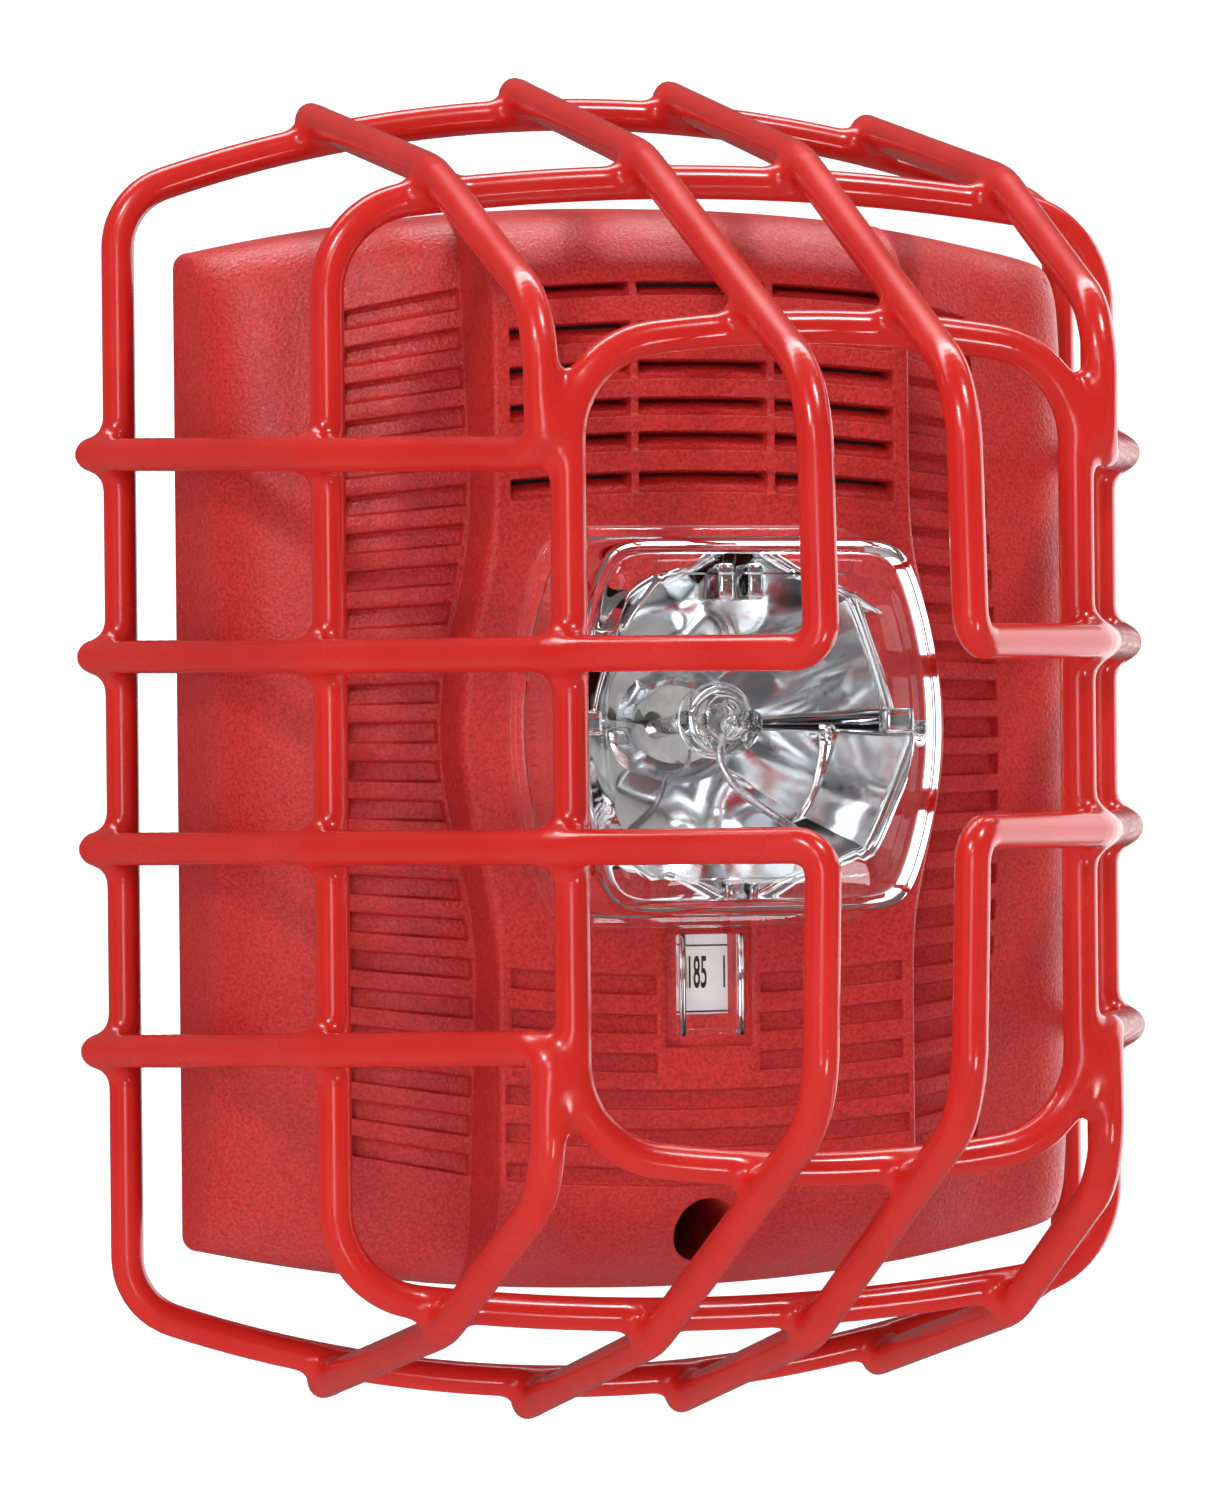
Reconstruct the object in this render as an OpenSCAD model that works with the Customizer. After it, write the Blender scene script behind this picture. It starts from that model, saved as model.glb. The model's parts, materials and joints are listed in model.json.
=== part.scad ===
// Wall horn strobe with a welded wire guard.
// Frame: origin at the centre of the mounting plane on the wall. The wall is y = 0,
// the front looks along -Y, +X is to the right seen from the front and +Z is up.
// "depth" always means the distance in front of the wall, so y = -depth.

/* [Head] */
// Width of the housing at its back edge
head_w = 119; // [115:0.5:123]
// Height of the housing at the crown of its arched top and bottom
head_h = 142; // [138:0.5:146]
// Rise of the arched top and bottom edges
head_rise = 7; // [5:0.5:9]
// Depth of the housing's back edge
head_back = 11.2; // [11:0.1:12]
// Depth of the raised centre column's front face
column_front = 49.4; // [48:0.1:51]
// Half width of the centre column above and below the lens
column_half = 27.5; // [26.5:0.1:28]
// Extra half width of the column beside the lens
column_bulge = 4.6; // [3:0.1:5]
// Depth of the side panels at mid height
panel_front = 41.6; // [40:0.1:43]
// Wall thickness of the housing
wall = 2.4; // [2:0.1:2.8]

/* [Lens and flash] */
// Height of the lens centre
lens_z = 2.3; // [1:0.1:4]
// Half width of the lens flange
lens_half_w = 26.1; // [25:0.1:27]
// Half height of the lens flange
lens_half_h = 25.7; // [25:0.1:26.5]
// Depth of the front of the lens dome
lens_front = 75; // [72:0.5:78]
// Wall thickness of the lens
lens_wall = 1.6; // [1.2:0.1:2]

/* [Guard] */
// Diameter of the coated wire
wire_d = 4.3; // [3.5:0.1:4.5]
// Distance between the centre lines of two welded wires
weld_step = 3.3; // [3:0.1:3.6]
// Depth of the rear ring
rear_ring_depth = 4.2; // [4:0.1:5]
// Depth of the middle ring
mid_ring_depth = 56; // [54:0.5:58]
// Depth of the front ring
front_ring_depth = 96.3; // [94:0.5:98]
// Depth of the upright wires over the lens
nose_depth = 121; // [118:0.5:124]
// How much higher the right-hand bars are welded than the left-hand ones
right_bar_lift = 1.2; // [0:0.1:2]

/* [Mounting] */
// Distance between the two wall box screws
box_pitch = 83.3; // [83:0.1:84]
// Radius of the wall box screw holes
box_hole_r = 2.2; // [2:0.1:2.5]
// Height of the captive screw, below the centre
screw_z = -60.9; // [-62:0.1:-60]

/* [Hidden] */
$fn = 64;

wire_r = wire_d / 2;
rear_ring = [65.2, 84.1, 12.4, 9];      // half width, half height, rise, corner radius
mid_ring = [50.5, 70.6, 4.4, 12];
front_ring = [31.8, 49.9, 3.3, 12];
side_draft = 0.8;
groove_pitch = 4.75;
groove_h = 2.6;
groove_depth = 1.2;
slot_pitch = 4.78;
slot_h = 2.2;
slot_half_w = 25.2;
slot_first_z = 32.5;
rib_x = 9;
rib_w = 1.3;
window_half_w = 4.4;
window_top = lens_z - lens_half_h + 3;
window_bottom = -36.3;
label_half_w = 3.2;
strip_x = [-5, 16.5];      // the label strip with its selector at rest
well_r = 4.15;
well_floor = 18;
cover_rear = 11.6;
cover_t = 1.8;
cover_inset = wall + 0.6;
board_rear = 20;
board_t = 1.6;
board_front = board_rear + board_t;
boss_places = [[40, 46], [-40, 46], [40, -46], [-40, -46]];
cover_screw_places = [[49, 46], [-49, 46], [49, -46], [-49, -46]];
horn_z = 43;
tone_place = [-30, 22];
pin_x = [12, 18, 24, 30];
pin_z = 12;
plate_inset = 3.2;
plate_t = 2.4;
plate_rim_depth = 10.2;
terminal_front = 8.6;
hook_x = 25;
hook_w = 9;
hook_z = 61;
flash_z = 3.4;
red = "firebrick";

// ---------- outlines and placing ----------
function arc(cx, cy, r, from, to, n = 16) =
    [for (i = [0:n]) let (a = from + (to - from) * i / n) [cx + r * cos(a), cy + r * sin(a)]];
function unit(v) = v / norm(v);
// Radius of an arch that spans 2 * w and rises by s
function arch_r(w, s) = (w * w + s * s) / (2 * s);
function arch_corner_z(w, h, s, c) =
    h - arch_r(w, s) + sqrt(pow(arch_r(w, s) - c, 2) - pow(w - c, 2));
function arch_angle(w, s, c) = asin((w - c) / (arch_r(w, s) - c));
function flip(points) = [for (i = [len(points) - 1:-1:0]) [-points[i][0], points[i][1]]];
function flip_z(points) = [for (i = [len(points) - 1:-1:0]) [points[i][0], -points[i][1]]];
// Superellipse, the bulged rounded rectangle of the lens
function oval(a, b, power = 4.6, n = 48) =
    [for (i = [0:n - 1]) let (t = 360 * i / n, c = cos(t), s = sin(t))
        [a * sign(c) * pow(abs(c), 2 / power), b * sign(s) * pow(abs(s), 2 / power)]];
// Outline with straight sides and an arched top and bottom
function arched(w, h, s, c) =
    let (q = concat(arc(w - c, arch_corner_z(w, h, s, c), c, 0, 90 - arch_angle(w, s, c), 6),
                    arc(0, h - arch_r(w, s), arch_r(w, s), 90 - arch_angle(w, s, c), 90, 14)),
         top = concat(q, flip(q)))
    concat(top, flip_z(top));
function column_half_at(z) =
    column_half + (abs(z - lens_z) < 33 ? column_bulge * pow(cos(90 * (z - lens_z) / 33), 2) : 0);

// Extrudes an X-Z outline from one depth to another
module slab(from, to) {
    translate([0, -from, 0]) rotate([90, 0, 0]) linear_extrude(to - from) children();
}
// Extrudes a depth-Z outline across the width
module across(half) {
    translate([half, 0, 0]) rotate([90, 0, -90]) linear_extrude(2 * half) children();
}
// Extrudes an X-depth outline over the height
module upright(half) {
    mirror([0, 1, 0]) translate([0, 0, -half]) linear_extrude(2 * half) children();
}
// Round bar or hole along the depth, at X and Z
module peg(x, z, r, from, to) {
    translate([x, -from, z]) rotate([90, 0, 0]) cylinder(h = to - from, r = r);
}
module block(x0, x1, from, to, z0, z1) {
    translate([x0, -to, z0]) cube([x1 - x0, to - from, z1 - z0]);
}
// Round bar between two points
module rod(a, b, r) {
    v = b - a;
    translate(a) rotate([0, acos(v[2] / norm(v)), atan2(v[1], v[0])]) cylinder(h = norm(v), r = r);
}
// Closed skin through outlines of equal length, each at its own depth
module loft(outlines, depths) {
    n = len(outlines[0]);
    points = [for (k = [0:len(outlines) - 1], p = outlines[k]) [p[0], -depths[k], p[1]]];
    sides = [for (k = [0:len(outlines) - 2], i = [0:n - 1])
        each [[k * n + i, k * n + (i + 1) % n, (k + 1) * n + (i + 1) % n],
              [k * n + i, (k + 1) * n + (i + 1) % n, (k + 1) * n + i]]];
    ends = [[for (i = [n - 1:-1:0]) i], [for (i = [0:n - 1]) (len(outlines) - 1) * n + i]];
    polyhedron(points, concat([for (f = sides) [f[2], f[1], f[0]]],
                              [for (f = ends) [for (i = [len(f) - 1:-1:0]) f[i]]]));
}

// ---------- bent wire ----------
wire_sides = 12;
wire_draw_r = wire_r * 1.023;   // a twelve-sided wire with the area of the round one
function turn_at(p, i) = acos(unit(p[i] - p[i - 1]) * unit(p[i + 1] - p[i]));
// Points along the bend of the given radius at corner i
function bend_points(p, i, bend) =
    let (t1 = unit(p[i] - p[i - 1]), t2 = unit(p[i + 1] - p[i]), turn = turn_at(p, i),
         inward = cross(unit(cross(t1, t2)), t1),
         centre = p[i] - t1 * bend * tan(turn / 2) + inward * bend,
         steps = ceil(turn / 13))
    [for (k = [0:steps]) let (a = turn * k / steps)
        centre - inward * bend * cos(a) + t1 * bend * sin(a)];
function wire_points(p, bends) = concat(
    [p[0]], [for (i = [1:len(p) - 2]) each bend_points(p, i, bends[i - 1])], [p[len(p) - 1]]);
function tangents(p, closed) =
    let (n = len(p))
    [for (i = [0:n - 1]) closed ? unit(p[(i + 1) % n] - p[(i + n - 1) % n])
                                : unit(p[min(i + 1, n - 1)] - p[max(i - 1, 0)])];
// Cross-section axes carried along the wire without twist
function carried(t, u, k = 0) =
    k == len(t) ? [] : let (v = unit(u - (u * t[k]) * t[k])) concat([v], carried(t, v, k + 1));
// Solid round wire through the points p, closed on itself or with round ends
module wire_along(p, closed, across_axis) {
    n = len(p);
    t = tangents(p, closed);
    caps = closed ? [] : [75, 45];
    centres = concat([for (a = caps) p[0] - t[0] * wire_draw_r * sin(a)], p,
                     [for (a = [for (i = [len(caps) - 1:-1:0]) caps[i]])
                         p[n - 1] + t[n - 1] * wire_draw_r * sin(a)]);
    axes_t = concat([for (a = caps) t[0]], t, [for (a = caps) t[n - 1]]);
    axes_u = carried(axes_t, across_axis);
    count = len(centres);
    function size_at(k) = closed ? 1 : k < 2 ? cos(caps[k]) : k > count - 3 ? cos(caps[count - 1 - k]) : 1;
    m = wire_sides;
    points = [for (k = [0:count - 1], j = [0:m - 1])
        centres[k] + wire_draw_r * size_at(k) *
            (cos(360 * j / m) * axes_u[k] + sin(360 * j / m) * cross(axes_t[k], axes_u[k]))];
    bands = closed ? count - 1 : count - 2;
    sides = [for (k = [0:bands], j = [0:m - 1])
        let (a = k * m + j, b = k * m + (j + 1) % m, next = ((k + 1) % count) * m,
             c = next + (j + 1) % m, d = next + j)
        each [[c, b, a], [d, c, a]]];
    ends = closed ? [] : [[for (j = [0:m - 1]) j], [for (j = [m - 1:-1:0]) (count - 1) * m + j]];
    polyhedron(points, concat(sides, ends));
}
module bent_wire(p, bends) {
    wire_along(wire_points(p, bends), false, [1, 0, 0]);
}
// Closed flat ring with straight sides and arched top and bottom
module wire_ring(shape, depth) {
    outline = ring_outline(shape[0], shape[1], shape[2], shape[3]);
    color(red) wire_along([for (q = outline) [q[0], -depth, q[1]]], true, [0, 1, 0]);
}
function ring_outline(w, h, s, c) =
    let (lean = arch_angle(w, s, c),
         q = concat(arc(w - c, arch_corner_z(w, h, s, c), c, 0, 90 - lean, 6),
                    [for (i = [1:6]) let (a = 90 - lean + lean * i / 6)
                        [arch_r(w, s) * cos(a), h - arch_r(w, s) + arch_r(w, s) * sin(a)]]),
         top = concat(q, [for (i = [len(q) - 2:-1:0]) [-q[i][0], q[i][1]]]))
    concat(top, [for (i = [len(top) - 1:-1:0]) [top[i][0], -top[i][1]]]);
function ring_z(shape, x) =
    shape[1] - arch_r(shape[0], shape[2]) + sqrt(pow(arch_r(shape[0], shape[2]), 2) - x * x);

wire_end = wire_draw_r;
side_rear_x = rear_ring[0] + weld_step;
side_mid_x = mid_ring[0] + weld_step * 0.91;
side_front_x = front_ring[0] + weld_step * 0.67;
over_mid_depth = mid_ring_depth + weld_step * 0.4;
over_front_depth = front_ring_depth + weld_step * 0.74;

// sx and sz choose the quarter of the guard: sx = -1 is left, sz = 1 is upper
function lift(sx) = sx > 0 ? right_bar_lift : 0;
function outer_path(sx, sz) = [
    [sx * 38.6, -wire_end, sz * (ring_z(rear_ring, 38.6) + weld_step * 0.95)],
    [sx * 37.3, -over_mid_depth, sz * (ring_z(mid_ring, 37.3) + weld_step * 0.93)],
    [sx * 35.1, -front_ring_depth, sz * 51.8],
    [sx * 34.9, -front_ring_depth, sz * 34.8 + lift(sx) * 0.4],
    [sx * side_mid_x, -over_mid_depth, sz * 36.4 + lift(sx) * 0.5],
    [sx * side_rear_x, -wire_end, sz * 38.8 + lift(sx) * 0.5]];
function inner_path(sx, sz) = [
    [sx * 10.7, -wire_end, sz * (ring_z(rear_ring, 10.7) + weld_step * 0.95)],
    [sx * 10.4, -over_mid_depth, sz * (ring_z(mid_ring, 10.4) + weld_step * 0.95)],
    [sx * 9.1, -(nose_depth - 2), sz * 42.2],
    [sx * 9.1, -nose_depth, sz * 11 + lift(sx)],
    [sx * side_front_x, -over_front_depth, sz * 11.3 + lift(sx)],
    [sx * side_mid_x, -over_mid_depth, sz * 11.7 + lift(sx)],
    [sx * side_rear_x, -wire_end, sz * 12.5 + lift(sx)]];
outer_bends = [22, 12, 3.4, 24];
inner_bends = [24, 14, 3.4, 16, 24];
module outer_wire(sx, sz) { color(red) bent_wire(outer_path(sx, sz), outer_bends); }
module inner_wire(sx, sz) { color(red) bent_wire(inner_path(sx, sz), inner_bends); }

module guard_rear_ring() { wire_ring(rear_ring, rear_ring_depth); }
module guard_middle_ring() { wire_ring(mid_ring, mid_ring_depth); }
module guard_front_ring() { wire_ring(front_ring, front_ring_depth); }

// ---------- housing ----------
// Plan of the shell: X against depth, drawn smaller by t
function plan_half(t) = concat(
    [[0, 0], [head_w / 2 - t, 0], [head_w / 2 - t, head_back], [head_w / 2 - side_draft - t, head_back + 11.5]],
    arc(head_w / 2 - side_draft - 13, head_back + 11.5, 13 - t, 6, 74, 12),
    [[33, panel_front - 1.3 - t], [0, panel_front + 0.6 - t]]);
function plan(t) = concat(plan_half(t), flip(plan_half(t)));
// Side view of the bowed panels: depth against Z
function bow_half(t) = concat(
    [for (i = [0:8]) let (z = 58 * i / 8) [panel_front - z * z / 480 - t, z]],
    arc(panel_front - 7.4 - 12, 57.5, 12 - t, 8, 84, 10),
    [[head_back, head_h / 2 - t], [0, head_h / 2 - t]]);
function bow(t) = concat(bow_half(t), flip_z(bow_half(t)));
// Side view of the centre column
function column_side(t) = concat(
    [[0, -head_h / 2 + t], [head_back, -head_h / 2 + t]],
    arc(column_front - 13, -53.8, 13 - t, -82, 0, 12),
    arc(column_front - 14, 54.6, 14 - t, 0, 82, 12),
    [[head_back, head_h / 2 - t], [0, head_h / 2 - t]]);
function column_edge(t) = [for (i = [0:48]) let (z = -72 + 3 * i) [column_half_at(z) - t, z]];
function column_front_outline(t) = concat(column_edge(t), flip(column_edge(t)));

module head_outline(t) { polygon(arched(head_w / 2 - t, head_h / 2 - t, head_rise, 2.5)); }
module panel_body(t, rear) {
    intersection() {
        upright(head_h) polygon(plan(t));
        across(head_w) polygon(bow(t));
        slab(rear, 60) head_outline(t);
    }
}
module column_body(t, rear) {
    intersection() {
        across(head_w) polygon(column_side(t));
        slab(rear, 60) polygon(column_front_outline(t));
        slab(rear, 60) head_outline(t);
    }
}
// One curved row, concentric with the arched top (side = 1) or bottom (side = -1)
module curved_row(z, h, half, from, to) {
    side = z < 0 ? -1 : 1;
    big = arch_r(head_w / 2, head_rise) - head_h / 2 + abs(z) + half * half / 520;
    slab(from, to) intersection() {
        translate([0, side * (abs(z) - big + half * half / 520)]) difference() {
            circle(big + h / 2, $fn = 256);
            circle(big - h / 2, $fn = 256);
        }
        translate([-half, z - 6]) square([2 * half, 12]);
    }
}
// Blind louvre grooves of the side panels: rows that fan out from the lens height
module panel_grooves() {
    intersection() {
        difference() {
            panel_body(0, head_back);
            translate([0, groove_depth, 0]) panel_body(0, head_back);
        }
        for (k = [-11:11], s = [1, -1]) {
            z = groove_pitch * k;
            inner_x = column_half_at(lens_z + z) + 0.6;
            slab(head_back + 10, 60) polygon([
                [s * 43.6, lens_z + z - groove_h / 2], [s * 43.6, lens_z + z + groove_h / 2],
                [s * inner_x, lens_z + z * 1.05 + groove_h / 2],
                [s * inner_x, lens_z + z * 1.05 - groove_h / 2]]);
        }
    }
}
module front_grooves() {
    for (k = [0:5], s = [1, -1]) {
        z = -28.6 - 4.87 * k;
        difference() {
            curved_row(z, 2.4, 25.8, column_front - 0.9, 60);
            if (k < 3) block(-6.9, 6.9, 0, 60, z - 5, z + 5);
        }
    }
}
module horn_slots() {
    difference() {
        for (k = [0:5]) {
            z = slot_first_z + slot_pitch * k;
            curved_row(z, slot_h, slot_half_w, column_front - 1.8, 60);
            curved_row(z + slot_h / 2 - 0.45, 0.9, slot_half_w, column_front - 20, 60);
        }
        for (s = [1, -1]) block(s * rib_x - rib_w / 2, s * rib_x + rib_w / 2, 0, 80, 20, 70);
    }
}
module housing() {
    color(red) {
        difference() {
            union() {
                difference() {
                    union() { panel_body(0, head_back); column_body(0, head_back); }
                    panel_body(wall, 0);
                    column_body(wall, 0);
                }
                intersection() {
                    peg(0, screw_z, well_r + 1.8, well_floor - 2, 60);
                    column_body(0, 0);
                }
                for (p = boss_places) intersection() {
                    peg(p[0], p[1], 2.8, board_front, 60);
                    panel_body(0, 0);
                }
                for (p = cover_screw_places) intersection() {
                    peg(p[0], p[1], 2.8, cover_rear + cover_t, 60);
                    panel_body(0, 0);
                }
            }
            peg(0, screw_z, well_r, well_floor, 70);
            peg(0, screw_z, 2.1, 0, 70);
            for (p = boss_places) peg(p[0], p[1], 1.15, 0, board_front + 8);
            for (p = cover_screw_places) peg(p[0], p[1], 1.15, 0, cover_rear + 12);
            slab(column_front - 6, 60) translate([0, lens_z]) polygon(oval(22.6, 22));
            block(-label_half_w, label_half_w, column_front - 6, 60, window_bottom + 1.4, window_top - 2);
            horn_slots();
            front_grooves();
            panel_grooves();
        }
    }
}

// ---------- lens, reflector and flash tube ----------
lens_foot = 1.4;
dome_r = 8;
function dome_outlines(t) = concat(
    [oval(24.4 - t, 24 - t)],
    [for (a = [0:15:75]) oval(23.7 - dome_r * (1 - cos(a)) - t, 23.4 - dome_r * (1 - cos(a)) - t)],
    [for (k = [0.66, 0.33, 0.04]) oval(16 * k, 15.6 * k)]);
function dome_depths(t) = concat(
    [column_front + (t > 0 ? -1 : lens_foot)],
    [for (a = [0:15:75]) lens_front - 2 - dome_r + (dome_r - t) * sin(a)],
    [for (k = [0.66, 0.33, 0.04]) lens_front - t - 2 * k * k]);
module lens() {
    color("whitesmoke", 0.4) difference() {
        union() {
            slab(column_front, column_front + lens_foot)
                translate([0, lens_z]) polygon(oval(lens_half_w, lens_half_h));
            translate([0, 0, lens_z + 0.7]) loft(dome_outlines(0), dome_depths(0));
            block(-window_half_w, window_half_w, column_front, column_front + 2.2, window_bottom,
                  window_top + 1);
        }
        translate([0, 0, lens_z + 0.7]) loft(dome_outlines(lens_wall), dome_depths(lens_wall));
        block(1.4 - window_half_w, window_half_w - 1.4, column_front - 1, column_front + 0.8,
              window_bottom + 1.4, window_top - 2);
    }
}
bowl_front = 64.6;
bowl_back = 36;
bowl_hole = 6.4;
function bowl_outline(k, t) = oval(bowl_hole + (19.4 - bowl_hole) * sqrt(k) + t,
                                   bowl_hole + (20.6 - bowl_hole) * sqrt(k) + t, 2.3, 40);
bowl_steps = [0, 0.06, 0.2, 0.4, 0.65, 1];
module reflector() {
    color("silver") translate([0, 0, flash_z]) difference() {
        loft([for (k = bowl_steps) bowl_outline(k, 1.1)],
             [for (k = bowl_steps) bowl_back + (bowl_front - bowl_back) * k]);
        loft([for (k = bowl_steps) bowl_outline(k, 0)],
             [for (k = bowl_steps) bowl_back - 0.5 + (bowl_front - bowl_back + 1) * k]);
    }
}
tube_r = 1.3;
coil_r = 3.4;
coil_depths = [52, 55, 58];
module flash_tube() {
    color("white", 0.6) {
        for (d = coil_depths) translate([0, -d, flash_z]) rotate([90, 0, 0])
            rotate_extrude() translate([coil_r, 0]) circle(tube_r);
        for (a = [0, 180]) peg(coil_r * cos(a), flash_z, tube_r, 30, coil_depths[a / 180 * 2]);
        for (a = [90, 270]) peg(coil_r * cos(a), flash_z + coil_r * sin(a), 0.9, coil_depths[0], coil_depths[2]);
    }
}
module tube_leads() {
    color("silver") for (s = [1, -1]) peg(s * coil_r, flash_z, 0.5, board_rear - 1, 30);
}
module trigger_wire() {
    color("silver") {
        peg(0, flash_z - 5.5, 0.4, board_rear - 1, coil_depths[1] + 0.4);
        rod([0, -coil_depths[1], flash_z - 5.5], [0, -coil_depths[1], flash_z - coil_r - tube_r], 0.4);
    }
}
module tube_holder() {
    color("ivory") difference() {
        union() {
            peg(0, flash_z, 8, board_front, bowl_back);
            peg(0, flash_z, 6.3, bowl_back, bowl_back + 1.5);
        }
        for (s = [1, -1]) {
            peg(s * coil_r, flash_z, tube_r, 30, 60);
            peg(s * coil_r, flash_z, 0.6, 0, 40);
        }
        peg(0, flash_z - 5.5, 0.5, 0, 60);
    }
}

// ---------- horn ----------
module horn_chamber() {
    color("dimgray") difference() {
        union() {
            peg(0, horn_z, 17, board_front, 45.6);
            slab(44, 45.6) translate([-24, horn_z - 13.6]) square([48, 27]);
        }
        peg(0, horn_z, 13.6, board_front + 4, 60);
        peg(0, horn_z, 15.2, 30, 35);
        peg(0, horn_z, 14.4, 35, 60);
        peg(0, horn_z, 2.5, 0, 60);
        peg(11, horn_z, 0.8, 0, 60);
    }
}
module piezo_disc() {
    color("gold") {
        peg(0, horn_z, 14.3, 30, 30.4);
        peg(0, horn_z, 9, 30.4, 30.8);
    }
}
module disc_ring() {
    color("black") difference() {
        peg(0, horn_z, 14.3, 30.4, 33);
        peg(0, horn_z, 11.6, 20, 40);
    }
}
module horn_leads() {
    color("crimson") {
        peg(0, horn_z, 0.7, board_rear - 1, 30);
        peg(11, horn_z, 0.7, board_rear - 1, 30);
    }
}

// ---------- circuit board and what it carries ----------
capacitor_place = [-24, 30.2, -30];
inductor_place = [27, -18];
coil_box = [12, 22, -48, -39];
module circuit_board() {
    color("darkgreen") difference() {
        slab(board_rear, board_front) difference() {
            translate([-46, -50]) square([92, 104]);
            translate([-15, -40.4]) square([20, 4.6]);
        }
        for (p = boss_places) peg(p[0], p[1], 1.5, 0, 60);
        for (s = [1, -1]) peg(s * coil_r, flash_z, 0.6, 0, 60);
        peg(0, flash_z - 5.5, 0.5, 0, 60);
        peg(0, horn_z, 0.8, 0, 60);
        peg(11, horn_z, 0.8, 0, 60);
        for (x = pin_x) peg(x, pin_z, 1, 0, 60);
    }
}
module storage_capacitor() {
    color("midnightblue") translate([capacitor_place[0], -capacitor_place[1], capacitor_place[2]])
        cylinder(h = 28, r = 8);
    color("silver") for (s = [1, -1]) {
        peg(capacitor_place[0] + s * 3, capacitor_place[2] - 2, 0.4, board_front, 30.2);
        rod([capacitor_place[0] + s * 3, -30.2, capacitor_place[2] - 2],
            [capacitor_place[0] + s * 3, -30.2, capacitor_place[2]], 0.4);
    }
}
module inductor_core() {
    color("dimgray") {
        peg(inductor_place[0], inductor_place[1], 8, board_front, board_front + 1.6);
        peg(inductor_place[0], inductor_place[1], 3.5, board_front + 1.6, board_front + 9.4);
        peg(inductor_place[0], inductor_place[1], 8, board_front + 9.4, board_front + 11);
    }
}
module inductor_winding() {
    color("peru") difference() {
        peg(inductor_place[0], inductor_place[1], 7, board_front + 1.6, board_front + 9.4);
        peg(inductor_place[0], inductor_place[1], 3.5, 0, 60);
    }
}
module trigger_coil() {
    color("black") block(coil_box[0], coil_box[1], board_front, board_front + 8, coil_box[2],
                         coil_box[3]);
}
module tone_switch_body() {
    color("black") difference() {
        block(tone_place[0] - 6, tone_place[0] + 6, 15, board_rear, tone_place[1] - 6, tone_place[1] + 6);
        peg(tone_place[0], tone_place[1], 1.58, 0, 19);
    }
}
module tone_dial() {
    color("white") difference() {
        union() {
            peg(tone_place[0], tone_place[1], 3.6, 10.6, 14.6);
            peg(tone_place[0], tone_place[1], 1.5, 14.6, 18.6);
        }
        block(tone_place[0] - 2.6, tone_place[0] + 2.6, 10, 11.6, tone_place[1] - 0.5, tone_place[1] + 0.5);
    }
}
// Fixed half of the candela switch: a channel that the slider runs in
module candela_switch_body() {
    color("black") difference() {
        block(-19, 9, 15, board_rear, -43.5, -33);
        block(-15.4, 5.4, 10, 30, -40.6, -35.6);
    }
}
module candela_slider() {
    color("white") {
        block(-2, 2, 10, 44.6, -39.4, -36.8);
        block(strip_x[0], strip_x[1], 43.8, 45.2, -40, -37.2);
        block(strip_x[0], strip_x[1], 45.2, 46, -40, -23.8);
    }
}
module candela_label() {
    color("white") block(strip_x[0], strip_x[1], 46, 46.3, -35.8, -24);
}
module contact_pins() {
    color("gold") for (x = pin_x) peg(x, pin_z, 0.9, 5, board_front + 0.8);
}
module cover_outline() { polygon(arched(head_w / 2 - cover_inset, head_h / 2 - cover_inset, head_rise, 2)); }
module rear_cover() {
    color("dimgray") difference() {
        slab(cover_rear, cover_rear + cover_t) cover_outline();
        for (p = cover_screw_places) peg(p[0], p[1], 1.4, 0, 60);
        for (s = [1, -1]) block(s * hook_x - 6, s * hook_x + 6, 0, 60, hook_z - 1.5, hook_z + 2.8);
        peg(0, screw_z, 2.3, 0, 60);
        for (x = pin_x) peg(x, pin_z, 1.5, 0, 60);
        peg(tone_place[0], tone_place[1], 4.2, 0, 60);
        block(-15.4, 3.4, 0, 60, -40.6, -35.6);
    }
}
module cover_screws() {
    color("silver") for (p = cover_screw_places) {
        peg(p[0], p[1], 2.4, cover_rear - 1.2, cover_rear);
        peg(p[0], p[1], 1.1, cover_rear, cover_rear + 9);
    }
}
module board_screws() {
    color("silver") for (p = boss_places) {
        peg(p[0], p[1], 2.4, board_rear - 1.6, board_rear);
        peg(p[0], p[1], 1.1, board_rear, board_rear + 8);
    }
}
module captive_screw() {
    color("dimgray") difference() {
        union() {
            peg(0, screw_z, 3.6, well_floor, well_floor + 3.2);
            peg(0, screw_z, 1.75, 3.6, well_floor);
        }
        for (a = [0, 90]) translate([0, -well_floor - 3.2, screw_z]) rotate([0, a, 0])
            cube([4.4, 2.4, 0.9], center = true);
    }
}
module screw_retainer() {
    color("black") difference() {
        peg(0, screw_z, 3.4, well_floor - 3.2, well_floor - 2);
        peg(0, screw_z, 1.75, 0, 60);
    }
}

// ---------- mounting plate and its terminals ----------
module mounting_plate() {
    color("dimgray") difference() {
        union() {
            slab(0, plate_t) polygon(arched(head_w / 2 - plate_inset, head_h / 2 - plate_inset, head_rise, 2));
            slab(plate_t, plate_rim_depth) difference() {
                polygon(arched(head_w / 2 - plate_inset, head_h / 2 - plate_inset, head_rise, 2));
                polygon(arched(head_w / 2 - plate_inset - 2, head_h / 2 - plate_inset - 2, head_rise, 2));
            }
            peg(0, screw_z, 5.4, plate_t, plate_rim_depth);
            for (s = [1, -1]) {
                block(s * hook_x - hook_w / 2, s * hook_x + hook_w / 2, plate_t, 15.4, hook_z, hook_z + 2.4);
                block(s * hook_x - hook_w / 2, s * hook_x + hook_w / 2, 14, 15.4, hook_z, hook_z + 4.2);
            }
        }
        for (s = [1, -1]) peg(0, s * box_pitch / 2, box_hole_r, -1, 60);
        slab(-1, 60) translate([-20, -24]) square([26, 48]);
        peg(0, screw_z, 3.6, 0.8, 60);
    }
}
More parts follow.
